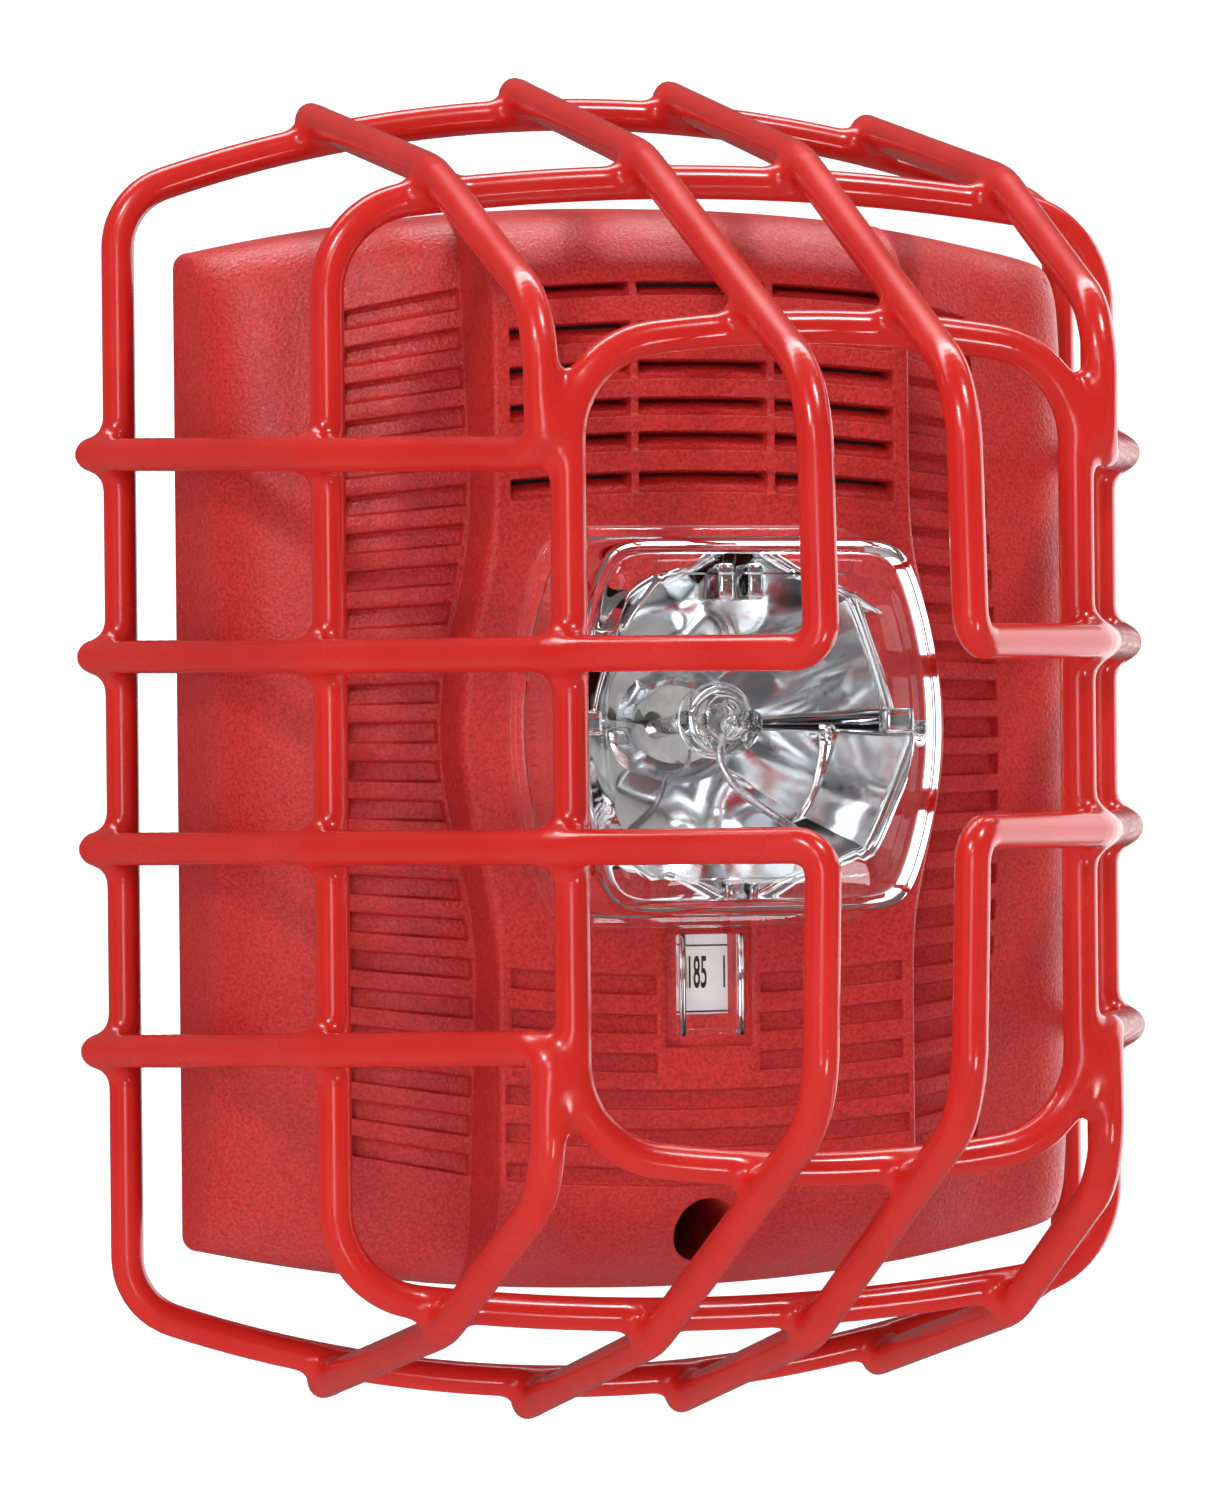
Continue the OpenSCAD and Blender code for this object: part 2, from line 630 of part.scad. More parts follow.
module thread_insert() {
    color("goldenrod") difference() {
        peg(0, screw_z, 3.6, 0.8, plate_rim_depth - 0.2);
        peg(0, screw_z, 2.35, 0, 60);
    }
}
module terminal_block() {
    color("black") difference() {
        block(8, 35, plate_t, terminal_front, -1, 17);
        for (x = pin_x) {
            peg(x, pin_z, 2, 3.4, 60);
            peg(x, 3, 2.6, 6.4, 60);
            peg(x, 3, 1.5, 3.4, 60);
        }
        for (i = [0:2]) block(pin_x[i] + 2.75, pin_x[i] + 3.25, 7, 60, -2, 18);
    }
}
module terminal_contacts() {
    color("gold") for (x = pin_x) difference() {
        peg(x, pin_z, 2, 3.4, 4.2);
        peg(x, pin_z, 1, 0, 60);
    }
}
module terminal_screws() {
    color("silver") for (x = pin_x) {
        difference() {
            peg(x, 3, 2.5, 6.4, 8);
            block(x - 2, x + 2, 7.2, 60, 2.6, 3.4);
        }
        peg(x, 3, 1.4, 3.4, 6.4);
    }
}
module shorting_spring() {
    color("silver") {
        block(35, 35.4, plate_t, 8.2, 8, 15);
        block(35.4, 40, 7.8, 8.2, 8, 15);
        block(35.4, 40, plate_t, plate_t + 0.4, 8, 15);
    }
}

mounting_plate();
terminal_block();
terminal_contacts();
terminal_screws();
shorting_spring();
thread_insert();
guard_rear_ring();
guard_middle_ring();
guard_front_ring();
outer_wire(-1, 1);  // guard_outer_upper_left
outer_wire(1, 1);  // guard_outer_upper_right
outer_wire(-1, -1);  // guard_outer_lower_left
outer_wire(1, -1);  // guard_outer_lower_right
inner_wire(-1, 1);  // guard_inner_upper_left
inner_wire(1, 1);  // guard_inner_upper_right
inner_wire(-1, -1);  // guard_inner_lower_left
inner_wire(1, -1);  // guard_inner_lower_right
housing();
lens();
reflector();
flash_tube();
tube_leads();
trigger_wire();
tube_holder();
horn_chamber();
piezo_disc();
disc_ring();
horn_leads();
circuit_board();
storage_capacitor();
inductor_core();
inductor_winding();
trigger_coil();
tone_switch_body();
candela_switch_body();
contact_pins();
rear_cover();
cover_screws();
board_screws();
captive_screw();
screw_retainer();
tone_dial();
candela_slider();
candela_label();
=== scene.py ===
import json
import math

import bmesh
import bpy
import numpy as np
from mathutils import Matrix, Vector


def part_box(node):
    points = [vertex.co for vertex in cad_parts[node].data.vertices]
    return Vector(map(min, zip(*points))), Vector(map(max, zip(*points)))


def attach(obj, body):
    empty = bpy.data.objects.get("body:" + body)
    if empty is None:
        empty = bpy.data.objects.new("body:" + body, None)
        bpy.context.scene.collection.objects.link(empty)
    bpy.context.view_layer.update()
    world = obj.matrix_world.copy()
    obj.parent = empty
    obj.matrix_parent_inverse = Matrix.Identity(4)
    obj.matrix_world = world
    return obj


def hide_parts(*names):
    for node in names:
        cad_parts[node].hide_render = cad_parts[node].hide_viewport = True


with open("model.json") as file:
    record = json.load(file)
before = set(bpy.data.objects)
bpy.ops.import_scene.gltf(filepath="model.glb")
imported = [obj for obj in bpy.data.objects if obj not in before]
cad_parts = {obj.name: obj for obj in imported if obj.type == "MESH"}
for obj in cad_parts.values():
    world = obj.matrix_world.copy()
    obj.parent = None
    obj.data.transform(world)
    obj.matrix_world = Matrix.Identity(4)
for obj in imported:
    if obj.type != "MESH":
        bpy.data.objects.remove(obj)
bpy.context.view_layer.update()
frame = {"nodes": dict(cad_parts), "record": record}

NODES = frame["nodes"]
MM = 0.001
scene = bpy.context.scene
scene.view_settings.view_transform = "Standard"


# ---------- helpers ----------
def new_object(name, verts, faces, look, body, slot, smooth):
    """A mesh piece with its points in millimetres."""
    mesh = bpy.data.meshes.new(name)
    points = [tuple(float(c) * MM for c in v) for v in verts]
    mesh.from_pydata(points, [], [tuple(int(i) for i in f) for f in faces])
    return add_mesh(name, mesh, look, body, slot, smooth)


def add_mesh(name, mesh, look, body, slot, smooth):
    """A piece that rides on a body; edges sharper than smooth, in degrees, stay sharp."""
    obj = bpy.data.objects.new(name, mesh)
    scene.collection.objects.link(obj)
    mesh.materials.clear()
    mesh.materials.append(look)
    shade(mesh, smooth)
    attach(obj, body)
    return obj


def shade(mesh, degrees):
    mesh.polygons.foreach_set("use_smooth", [True] * len(mesh.polygons))
    if degrees < 180:
        mesh.set_sharp_from_angle(angle=math.radians(degrees))
    mesh.update()


def unit(v):
    return v / np.linalg.norm(v)


def loft(outlines):
    """Closed skin through outlines given as (points, depth, centre z)."""
    n = len(outlines[0][0])
    verts = [(x, -depth, z + mid) for points, depth, mid in outlines for x, z in points]
    faces = [(k * n + i, k * n + (i + 1) % n, (k + 1) * n + (i + 1) % n, (k + 1) * n + i)
             for k in range(len(outlines) - 1) for i in range(n)]
    faces += [tuple(range(n))[::-1], tuple((len(outlines) - 1) * n + i for i in range(n))]
    return verts, faces


def rounded_box(x0, x1, d0, d1, z0, z1, r=0.35):
    """Box from x0 to x1, depth d0 to d1 and z0 to z1 with rounded edges."""
    bm = bmesh.new()
    bmesh.ops.create_cube(bm, size=1)
    for v in bm.verts:
        v.co = Vector(((x0 + x1) / 2 + v.co.x * (x1 - x0),
                       -(d0 + d1) / 2 + v.co.y * (d1 - d0),
                       (z0 + z1) / 2 + v.co.z * (z1 - z0)))
    bmesh.ops.bevel(bm, geom=bm.edges[:], offset=r, segments=3, profile=0.5, affect="EDGES")
    verts = [tuple(v.co) for v in bm.verts]
    faces = [tuple(v.index for v in f.verts) for f in bm.faces]
    bm.free()
    return verts, faces


def join(parts):
    """One piece from several given as (points, faces)."""
    verts, faces = [], []
    for v, f in parts:
        faces += [tuple(i + len(verts) for i in face) for face in f]
        verts += v
    return verts, faces


def tube(path, radius, sides=14):
    """Round closed tube through points."""
    path = [np.array(p, float) for p in path]
    verts, faces, u = [], [], None
    for i, p in enumerate(path):
        t = unit(path[min(i + 1, len(path) - 1)] - path[max(i - 1, 0)])
        if u is None:
            u = np.cross(t, (0.3, 0.5, 0.8))
        u = unit(u - (u @ t) * t)
        w = np.cross(t, u)
        verts += [tuple(p + radius * (math.cos(a) * u + math.sin(a) * w))
                  for a in np.linspace(0, 2 * math.pi, sides, endpoint=False)]
    for k in range(len(path) - 1):
        for j in range(sides):
            a, b = k * sides + j, k * sides + (j + 1) % sides
            faces.append((a, b, b + sides, a + sides))
    faces += [tuple(range(sides))[::-1], tuple((len(path) - 1) * sides + j for j in range(sides))]
    return verts, faces


def curve_through(points, steps):
    """Smooth curve through the points."""
    p = [np.array(q, float) for q in points]
    p = [2 * p[0] - p[1]] + p + [2 * p[-1] - p[-2]]
    out = []
    for i in range(1, len(p) - 2):
        for s in np.linspace(0, 1, steps, endpoint=False):
            out.append(0.5 * (2 * p[i] + (p[i + 1] - p[i - 1]) * s
                              + (2 * p[i - 1] - 5 * p[i] + 4 * p[i + 1] - p[i + 2]) * s ** 2
                              + (3 * p[i] - p[i - 1] - 3 * p[i + 1] + p[i + 2]) * s ** 3))
    return out + [p[-2]]


# ---------- materials ----------
def shader_of(mat):
    return mat.node_tree.nodes["Principled BSDF"]


def material(name, color, **inputs):
    """A shader whose other sockets are named with _ for a space."""
    mat = bpy.data.materials.new(name)
    mat.use_nodes = True
    shader_of(mat).inputs["Base Color"].default_value = (*color, 1)
    for key, value in inputs.items():
        shader_of(mat).inputs[key.replace("_", " ")].default_value = value
    return mat


def node(mat, kind, **values):
    """A new node; each value is one of its inputs or else a setting."""
    made = mat.node_tree.nodes.new(kind)
    for key, value in values.items():
        if key in made.inputs:
            made.inputs[key].default_value = value
        else:
            setattr(made, key, value)
    return made


def noise(mat, scale, detail=3.0):
    """Noise fixed to the object, with scale spots to the metre."""
    tex = node(mat, "ShaderNodeTexNoise", Scale=scale, Detail=detail, Roughness=0.55)
    place = node(mat, "ShaderNodeTexCoord")
    mat.node_tree.links.new(place.outputs["Object"], tex.inputs["Vector"])
    return tex.outputs["Fac"]


def vary(mat, socket, source, *stops):
    """Lets a source run a socket of the shader through two stops of (place, colour)."""
    made = node(mat, "ShaderNodeValToRGB")
    mat.node_tree.links.new(source, made.inputs["Fac"])
    for element, (place, color) in zip(made.color_ramp.elements, stops):
        element.position = place
        element.color = (*color, 1)
    mat.node_tree.links.new(made.outputs["Color"], shader_of(mat).inputs[socket])


def vary_color(mat, source, *stops):
    vary(mat, "Base Color", source, *stops)


def vary_rough(mat, source, low, high):
    vary(mat, "Roughness", source, (0.3, (low,) * 3), (0.7, (high,) * 3))


def bump(mat, heights, bevel=0.0):
    """Chains bumps given as (height, distance in mm, strength) over a bevelled normal."""
    links = mat.node_tree.links
    normal = None
    if bevel:
        edge = node(mat, "ShaderNodeBevel", Radius=bevel * MM, samples=6)
        normal = edge.outputs["Normal"]
    for height, distance, strength in heights:
        made = node(mat, "ShaderNodeBump", Distance=distance * MM, Strength=strength)
        links.new(height, made.inputs["Height"])
        if normal:
            links.new(normal, made.inputs["Normal"])
        normal = made.outputs["Normal"]
    links.new(normal, shader_of(mat).inputs["Normal"])


def guard_red():
    dark, light = (0.53, 0.013, 0.010), (0.60, 0.018, 0.013)
    mat = material("guard_coating", light, Coat_Weight=0.35, Coat_Roughness=0.12)
    vary_color(mat, noise(mat, 45), (0.3, dark), (0.7, light))
    vary_rough(mat, noise(mat, 90, 1), 0.2, 0.28)
    return mat


def housing_red():
    dark, light = (0.38, 0.011, 0.012), (0.56, 0.028, 0.027)
    mat = material("housing_grain", light)
    vary_color(mat, noise(mat, 2600, 2), (0.35, dark), (0.62, light))
    vary_rough(mat, noise(mat, 1900, 2), 0.32, 0.55)
    coarse, fine = noise(mat, 900, 2), noise(mat, 2000, 2)
    bump(mat, [(fine, 0.15, 0.9), (coarse, 0.1, 0.35)], bevel=0.3)
    return mat


def let_lamps_through(mat, tint):
    """Lamps shine through the clear piece as through a thin tinted sheet."""
    links = mat.node_tree.links
    mix = node(mat, "ShaderNodeMixShader")
    thin = node(mat, "ShaderNodeBsdfTransparent")
    thin.inputs["Color"].default_value = (*tint, 1)
    links.new(node(mat, "ShaderNodeLightPath").outputs["Is Shadow Ray"], mix.inputs["Fac"])
    links.new(shader_of(mat).outputs["BSDF"], mix.inputs[1])
    links.new(thin.outputs["BSDF"], mix.inputs[2])
    links.new(mix.outputs["Shader"], mat.node_tree.nodes["Material Output"].inputs["Surface"])
    return mat


def clear_plastic():
    mat = material("lens_polycarbonate", (0.97, 0.985, 0.99), IOR=1.27, Transmission_Weight=1.0)
    vary_rough(mat, noise(mat, 60), 0.02, 0.05)
    return let_lamps_through(mat, (0.9, 0.92, 0.93))


def glass():
    mat = material("tube_glass", (0.98, 0.985, 0.97), IOR=1.47, Transmission_Weight=1.0)
    vary_rough(mat, noise(mat, 400), 0.01, 0.05)
    return let_lamps_through(mat, (0.9, 0.9, 0.9))


def chrome():
    mat = material("metallised", (0.86, 0.88, 0.90), Metallic=1.0)
    vary_rough(mat, noise(mat, 90), 0.03, 0.12)
    bump(mat, [(noise(mat, 55, 1), 0.25, 0.25)])
    return mat


def metal(name, color, rough, grain=900):
    mat = material(name, color, Metallic=1.0)
    vary_rough(mat, noise(mat, grain), rough * 0.75, rough * 1.35)
    bump(mat, [(noise(mat, grain, 3), 0.03, 0.3)])
    return mat


def plastic(name, color, rough, grain=1500, height=0.04, spread=0.12):
    """Moulded plastic with a grain of a height in mm; spread is how far its colour varies."""
    mat = material(name, color)
    dark = tuple(c * (1 - spread) for c in color)
    light = tuple(min(1.0, c * (1 + spread)) for c in color)
    vary_color(mat, noise(mat, grain * 0.4), (0.35, dark), (0.65, light))
    vary_rough(mat, noise(mat, grain), rough * 0.85, rough * 1.15)
    bump(mat, [(noise(mat, grain, 2), height, 0.5)])
    return mat


MATS = {
    "guard_red": guard_red(), "housing_red": housing_red(), "clear": clear_plastic(),
    "chrome": chrome(), "tube_glass": glass(),
    "steel": metal("zinc_steel", (0.62, 0.63, 0.65), 0.28),
    "dark_steel": metal("black_steel", (0.06, 0.045, 0.045), 0.35),
    "brass": metal("brass", (0.78, 0.56, 0.25), 0.3),
    "copper": metal("copper_wire", (0.75, 0.33, 0.16), 0.35, 3000),
    "ferrite": plastic("ferrite", (0.035, 0.035, 0.04), 0.6),
    "black_plastic": plastic("black_moulding", (0.022, 0.022, 0.024), 0.5),
    "white_plastic": plastic("white_moulding", (0.78, 0.77, 0.73), 0.4),
    "label_white": plastic("label_stock", (0.92, 0.92, 0.91), 0.3, 600, 0.01, 0.02),
    "board_green": plastic("solder_mask", (0.015, 0.13, 0.05), 0.3, 500, 0.02, 0.25),
    "sleeve_blue": plastic("capacitor_sleeve", (0.02, 0.035, 0.12), 0.25, 400, 0.01),
    "lead_red": plastic("lead_insulation", (0.5, 0.02, 0.02), 0.4),
    "rubber": plastic("black_rubber", (0.012, 0.012, 0.012), 0.75, 800, 0.05),
}
for part in frame["record"]["subparts"]:
    mesh = NODES[part["node"]].data
    mesh.materials.clear()
    mesh.materials.append(MATS[part["material_slot"]])
    shade(mesh, 30)

# ---------- the guard: eleven wires under one skin of coating ----------
WIRE_R = 2.13
STEP = 3.3                        # between the centre lines of two welded wires
REAR = (65.2, 84.1, 12.4, 9)      # a ring's half width, half height, rise, corner radius
MID = (50.5, 70.6, 4.4, 12)
FRONT = (31.8, 49.9, 3.3, 12)
REAR_D, MID_D, FRONT_D, NOSE_D = 4.2, 56, 96.3, 121
END_D = WIRE_R * 1.023            # a wire's end, just clear of the wall
OVER_D = MID_D + STEP * 0.4       # a wire that crosses over the middle ring
SIDE_MID, SIDE_REAR = MID[0] + STEP * 0.91, REAR[0] + STEP
LIFT = 1.2                        # the wires on the right sit this much higher
FILLET = 2.9                      # how wide the coating rounds a weld
GUARD_CELL = 0.79                 # grid of the skin
RELAX_STEPS = 4
FAR, REACH = 9.0, 6               # distance where no wire is near, and how far one is felt


def arch_radius(w, s):
    """Radius of an arch with a half width and a rise."""
    return (w * w + s * s) / (2 * s)


def ring_path(shape, depth):
    """Centre line of a closed ring with arched top and bottom and straight sides."""
    w, h, s, c = shape
    big = arch_radius(w, s)
    corner_z = h - big + math.sqrt((big - c) ** 2 - (w - c) ** 2)
    lean = math.asin((w - c) / (big - c))
    quarter = [(w - c + c * math.cos(a), corner_z + c * math.sin(a))
               for a in np.linspace(0, math.pi / 2 - lean, 14)]
    quarter += [(big * math.sin(a), h - big + big * math.cos(a))
                for a in np.linspace(lean, 0, 22)[1:]]
    top = quarter + [(-x, z) for x, z in reversed(quarter[:-1])]
    outline = top + [(x, -z) for x, z in reversed(top)]
    return np.array([(x, -depth, z) for x, z in outline + outline[:1]])


def ring_z(shape, x):
    """Height of a ring's arch at x."""
    big = arch_radius(shape[0], shape[2])
    return shape[1] - big + math.sqrt(big * big - x * x)


def bent(corners, bends):
    """Points along straight runs joined by bends of the given radii."""
    p = [np.array(c, float) for c in corners]
    out = [p[0]]
    for i, bend in enumerate(bends, 1):
        t1, t2 = unit(p[i] - p[i - 1]), unit(p[i + 1] - p[i])
        turn = math.acos(float(np.clip(t1 @ t2, -1, 1)))
        inward = np.cross(unit(np.cross(t1, t2)), t1)
        centre = p[i] - t1 * bend * math.tan(turn / 2) + inward * bend
        for a in np.linspace(0, turn, max(3, int(math.degrees(turn) / 4))):
            out.append(centre - inward * bend * math.cos(a) + t1 * bend * math.sin(a))
    return np.array(out + [p[-1]])


def outer_path(sx, sz):
    """From the rear ring over the rings, beside the front ring and back along the side."""
    lift = LIFT if sx > 0 else 0
    return bent([
        (sx * 38.6, -END_D, sz * (ring_z(REAR, 38.6) + STEP * 0.95)),
        (sx * 37.3, -OVER_D, sz * (ring_z(MID, 37.3) + STEP * 0.93)),
        (sx * 35.1, -FRONT_D, sz * 51.8),
        (sx * 34.9, -FRONT_D, sz * 34.8 + lift * 0.4),
        (sx * SIDE_MID, -OVER_D, sz * 36.4 + lift * 0.5),
        (sx * SIDE_REAR, -END_D, sz * 38.8 + lift * 0.5)], [22, 12, 3.4, 24])


def inner_path(sx, sz):
    """From the rear ring over the front ring, out before the lens and sideways there."""
    lift = LIFT if sx > 0 else 0
    return bent([
        (sx * 10.7, -END_D, sz * (ring_z(REAR, 10.7) + STEP * 0.95)),
        (sx * 10.4, -OVER_D, sz * (ring_z(MID, 10.4) + STEP * 0.95)),
        (sx * 9.1, -(NOSE_D - 2), sz * 42.2),
        (sx * 9.1, -NOSE_D, sz * 11 + lift),
        (sx * (FRONT[0] + STEP * 0.67), -(FRONT_D + STEP * 0.74), sz * 11.3 + lift),
        (sx * SIDE_MID, -OVER_D, sz * 11.7 + lift),
        (sx * SIDE_REAR, -END_D, sz * 12.5 + lift)], [24, 14, 3.4, 16, 24])


def wire_field(paths):
    """Distance to the wires on a grid, blended where two meet, and the grid's corner."""
    low = np.min([p.min(0) for p in paths], 0) - 5
    high = np.max([p.max(0) for p in paths], 0) + 5
    count = np.ceil((high - low) / GUARD_CELL).astype(int) + 1
    axes = [(low[a] + GUARD_CELL * np.arange(count[a])).astype(np.float32) for a in range(3)]
    total = np.full(count, FAR, np.float32)
    for path in paths:
        own = np.full(count, FAR, np.float32)
        for a, b in zip(path[:-1], path[1:]):
            first = np.floor((np.minimum(a, b) - REACH - low) / GUARD_CELL).astype(int)
            last = np.ceil((np.maximum(a, b) + REACH - low) / GUARD_CELL).astype(int) + 1
            window = tuple(slice(max(first[k], 0), min(last[k], count[k])) for k in range(3))
            rel = [(axes[k][window[k]] - np.float32(a[k])).reshape(np.roll((-1, 1, 1), k))
                   for k in range(3)]
            v = [np.float32(c) for c in b - a]
            t = np.clip(sum(r * c for r, c in zip(rel, v)) / np.float32((b - a) @ (b - a)), 0, 1)
            away = np.sqrt(sum((r - t * c) ** 2 for r, c in zip(rel, v)))
            own[window] = np.minimum(own[window], away - np.float32(WIRE_R))
        near = np.maximum(FILLET - np.abs(total - own), 0) / FILLET
        total = np.minimum(total, own) - near * near * (FILLET / 4)
    return total, low


def exact_field(points, paths):
    """The same blended distance and its direction at each point."""
    def within(pts, lo, hi):
        return np.all((pts > lo - REACH) & (pts < hi + REACH), axis=1)

    total, slope = np.full(len(points), FAR), np.zeros((len(points), 3))
    for path in paths:
        near = within(points, path.min(0) - 1, path.max(0) + 1)
        local = points[near]
        best, way = np.full(len(local), FAR), np.zeros((len(local), 3))
        for a, b in zip(path[:-1], path[1:]):
            close = np.flatnonzero(within(local, np.minimum(a, b), np.maximum(a, b)))
            v = b - a
            rel = local[close] - a
            rel -= np.clip(rel @ v / (v @ v), 0, 1)[:, None] * v
            length = np.linalg.norm(rel, axis=1)
            better = length - WIRE_R < best[close]
            chosen = close[better]
            best[chosen] = length[better] - WIRE_R
            way[chosen] = rel[better] / np.maximum(length[better], 1e-6)[:, None]
        own, own_way = np.full(len(points), FAR), np.zeros((len(points), 3))
        own[near], own_way[near] = best, way
        mix = np.maximum(FILLET - np.abs(total - own), 0) / FILLET
        share = np.where(own < total, 1 - mix / 2, mix / 2)[:, None]
        slope = slope * (1 - share) + own_way * share
        total = np.minimum(total, own) - mix * mix * (FILLET / 4)
    return total, slope / np.maximum(np.linalg.norm(slope, axis=1), 1e-6)[:, None]


def skin(field, low):
    """Closed quad mesh where the field is zero: a point in each mixed cell."""
    inside = field < 0
    nx, ny, nz = (n - 1 for n in inside.shape)
    corners = sum(inside[i:nx + i, j:ny + j, k:nz + k].astype(np.uint8)
                  for i in (0, 1) for j in (0, 1) for k in (0, 1))
    mixed = (corners > 0) & (corners < 8)
    cells = np.argwhere(mixed)
    index = np.full(mixed.shape, -1, np.int32)
    index[mixed] = np.arange(len(cells))
    place, hits = np.zeros((len(cells), 3)), np.zeros(len(cells))
    for axis in range(3):
        others = [k for k in range(3) if k != axis]
        for m in (0, 1):
            for n in (0, 1):
                start = np.zeros(3, int)
                start[others[0]], start[others[1]] = m, n
                stop = start.copy()
                stop[axis] = 1
                a = field[tuple((cells + start).T)]
                b = field[tuple((cells + stop).T)]
                cross = (a < 0) != (b < 0)
                t = np.where(cross, a / np.where(cross, a - b, 1), 0)
                place += np.where(cross[:, None], start + t[:, None] * (stop - start), 0)
                hits += cross
    points = cells + place / hits[:, None]
    faces = []
    for axis in range(3):
        o1, o2 = [k for k in range(3) if k != axis]
        first = [slice(1, -1)] * 3
        first[axis] = slice(0, -1)
        second = list(first)
        second[axis] = slice(1, None)
        edge = np.argwhere(inside[tuple(first)] != inside[tuple(second)])
        offset = np.ones(3, int)
        offset[axis] = 0
        edge += offset
        quad = []
        for m, n in ((-1, -1), (0, -1), (0, 0), (-1, 0)):
            cell_at = edge.copy()
            cell_at[:, o1] += m
            cell_at[:, o2] += n
            quad.append(index[tuple(cell_at.T)])
        quad = np.stack(quad, 1)
        outward = inside[tuple(edge.T)]
        if axis == 1:
            outward = ~outward
        faces.append(np.where(outward[:, None], quad, quad[:, ::-1]))
    return points * GUARD_CELL + low, np.concatenate(faces)


def build_guard():
    paths = [ring_path(REAR, REAR_D), ring_path(MID, MID_D), ring_path(FRONT, FRONT_D)]
    for sx in (-1, 1):
        for sz in (-1, 1):
            paths += [outer_path(sx, sz), inner_path(sx, sz)]
    points, faces = skin(*wire_field(paths))
    for _ in range(RELAX_STEPS):
        centres, total = points[faces].mean(1), np.zeros_like(points)
        for k in range(4):
            np.add.at(total, faces[:, k], centres)
        points = total / np.bincount(faces.ravel(), minlength=len(points))[:, None]
        distance, normals = exact_field(points, paths)
        points = points - normals * distance[:, None]
    normals = exact_field(points, paths)[1]
    mesh = bpy.data.meshes.new("guard_skin")
    mesh.from_pydata((points * MM).tolist(), [], faces.tolist())
    obj = add_mesh("guard_skin", mesh, MATS["guard_red"], "wall", "guard_red", 180)
    mesh.normals_split_custom_set_from_vertices(normals.tolist())
    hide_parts(*[n for n in NODES if n.startswith("guard_")])


build_guard()

# ---------- housing ----------
HEAD_W, HEAD_H, RISE = 59.5, 71, 7                   # half width, half height, arch of the outline
HEAD_BACK, PANEL_FRONT, COLUMN_FRONT = 11.2, 41.6, 49.4   # depths from the wall
LENS_Z = 2.3
BIG_R = arch_radius(HEAD_W, RISE)
CORNER_X, CORNER_DROP = 57.5, 2.2                    # where the outline's corner starts, its fall
SIDE_X, SIDE_R = 58.7, 13                            # side panel's flank and its rounding
DRAFT = 0.09                                         # lean of the top and bottom faces
COLUMN_W, SWELL, SWELL_REACH = 27.5, 4.6, 33         # half width, bulge beside the lens
TOP_ROLL, FOOT_ROLL = (54.6, 14), (-53.8, 13)        # z where a roll of the column starts, radius
WELL_Z, WELL_R, WELL_SIDES, WELL_FLOOR = -60.9, 4.15, 48, 18


def smooth_step(a, b, v):
    t = min(1.0, max(0.0, (v - a) / (b - a)))
    return t * t * (3 - 2 * t)


def arch_drop(x):
    return BIG_R - math.sqrt(BIG_R ** 2 - x * x)


def outline_z(x):
    """Half height of the arched outline, with its corner rounding."""
    arch = HEAD_H - arch_drop(min(abs(x), CORNER_X))
    past = max(0, abs(x) - CORNER_X)
    return arch - CORNER_DROP + math.sqrt(max(0, CORNER_DROP ** 2 - past ** 2 * 1.2))


def column_half(z):
    """Half width of the centre column."""
    reach = abs(z - LENS_Z) / SWELL_REACH
    return COLUMN_W + (SWELL * math.cos(math.pi / 2 * reach) ** 2 if reach < 1 else 0)


def edges(values, offsets=(-0.24, -0.08, 0.05, 0.2)):
    """Grid lines close to both sides of each value, to hold its edge."""
    return [v + o for v in values for o in offsets]


def notch(v, low, high):
    """1 between low and high, with short rounded edges."""
    return smooth_step(low - 0.1, low + 0.14, v) * (1 - smooth_step(high - 0.14, high + 0.1, v))


def plan_points():
    """Half plan of the side panel's flank, from its front to the back edge: x and depth."""
    arc_x, arc_d = SIDE_X - SIDE_R, HEAD_BACK + 11.5
    out = [(arc_x + SIDE_R * math.cos(a), arc_d + SIDE_R * math.sin(a))
           for a in np.radians(np.arange(76, 5, -6))]
    return out + [(59.0, 18.0), (59.3, 14.5), (HEAD_W, HEAD_BACK)]


FLANK = plan_points()
LOUVRE_PITCH, LOUVRE_H, LOUVRE_DEPTH, LOUVRE_X = 4.75, 2.5, 1.25, 43.6
LOUVRES = range(-11, 12)
BEND_X = 33                # where the panel's front turns toward its flank
BOW = 480                  # the front falls by z * z / BOW toward its top and bottom
ROLL_R, ROLL_END = 9, 85   # radius of the panel's top and bottom edge, and its end in degrees


def front_depth(x):
    """Depth of the side panel's front between the column and its flank."""
    end_x, end_d = FLANK[0]
    if x < BEND_X:
        return PANEL_FRONT + 0.6 - 1.9 * x / BEND_X
    return PANEL_FRONT - 1.3 + (end_d - PANEL_FRONT + 1.3) * (x - BEND_X) / (end_x - BEND_X)


def roll_point(x, d, kind, value, z_fan, bowed):
    """Depth and height of a point between the last louvre and the panel's back edge."""
    r = ROLL_R * min(1, (d - HEAD_BACK) / 15)
    top, last = outline_z(x), math.radians(ROLL_END)
    start = math.atan(2 * 56 * (d - bowed(1)))      # the roll leaves the bow along its slope
    centre_d = d - r
    for _ in range(3):
        end_d = centre_d + r * math.cos(last)
        centre_z = top - DRAFT * max(0, end_d - HEAD_BACK) - r * math.sin(last)
        start_z = centre_z + r * math.sin(start)
        centre_d = bowed(start_z) - r * math.cos(start)
    if kind == "gap":
        z = abs(z_fan) + (start_z - abs(z_fan)) * value
        return bowed(z), z
    if kind == "roll":
        angle = start + (last - start) * value / ROLL_END
        return centre_d + r * math.cos(angle), centre_z + r * math.sin(angle)
    depth = end_d + (HEAD_BACK - end_d) * value
    return depth, top - DRAFT * max(0, depth - HEAD_BACK)


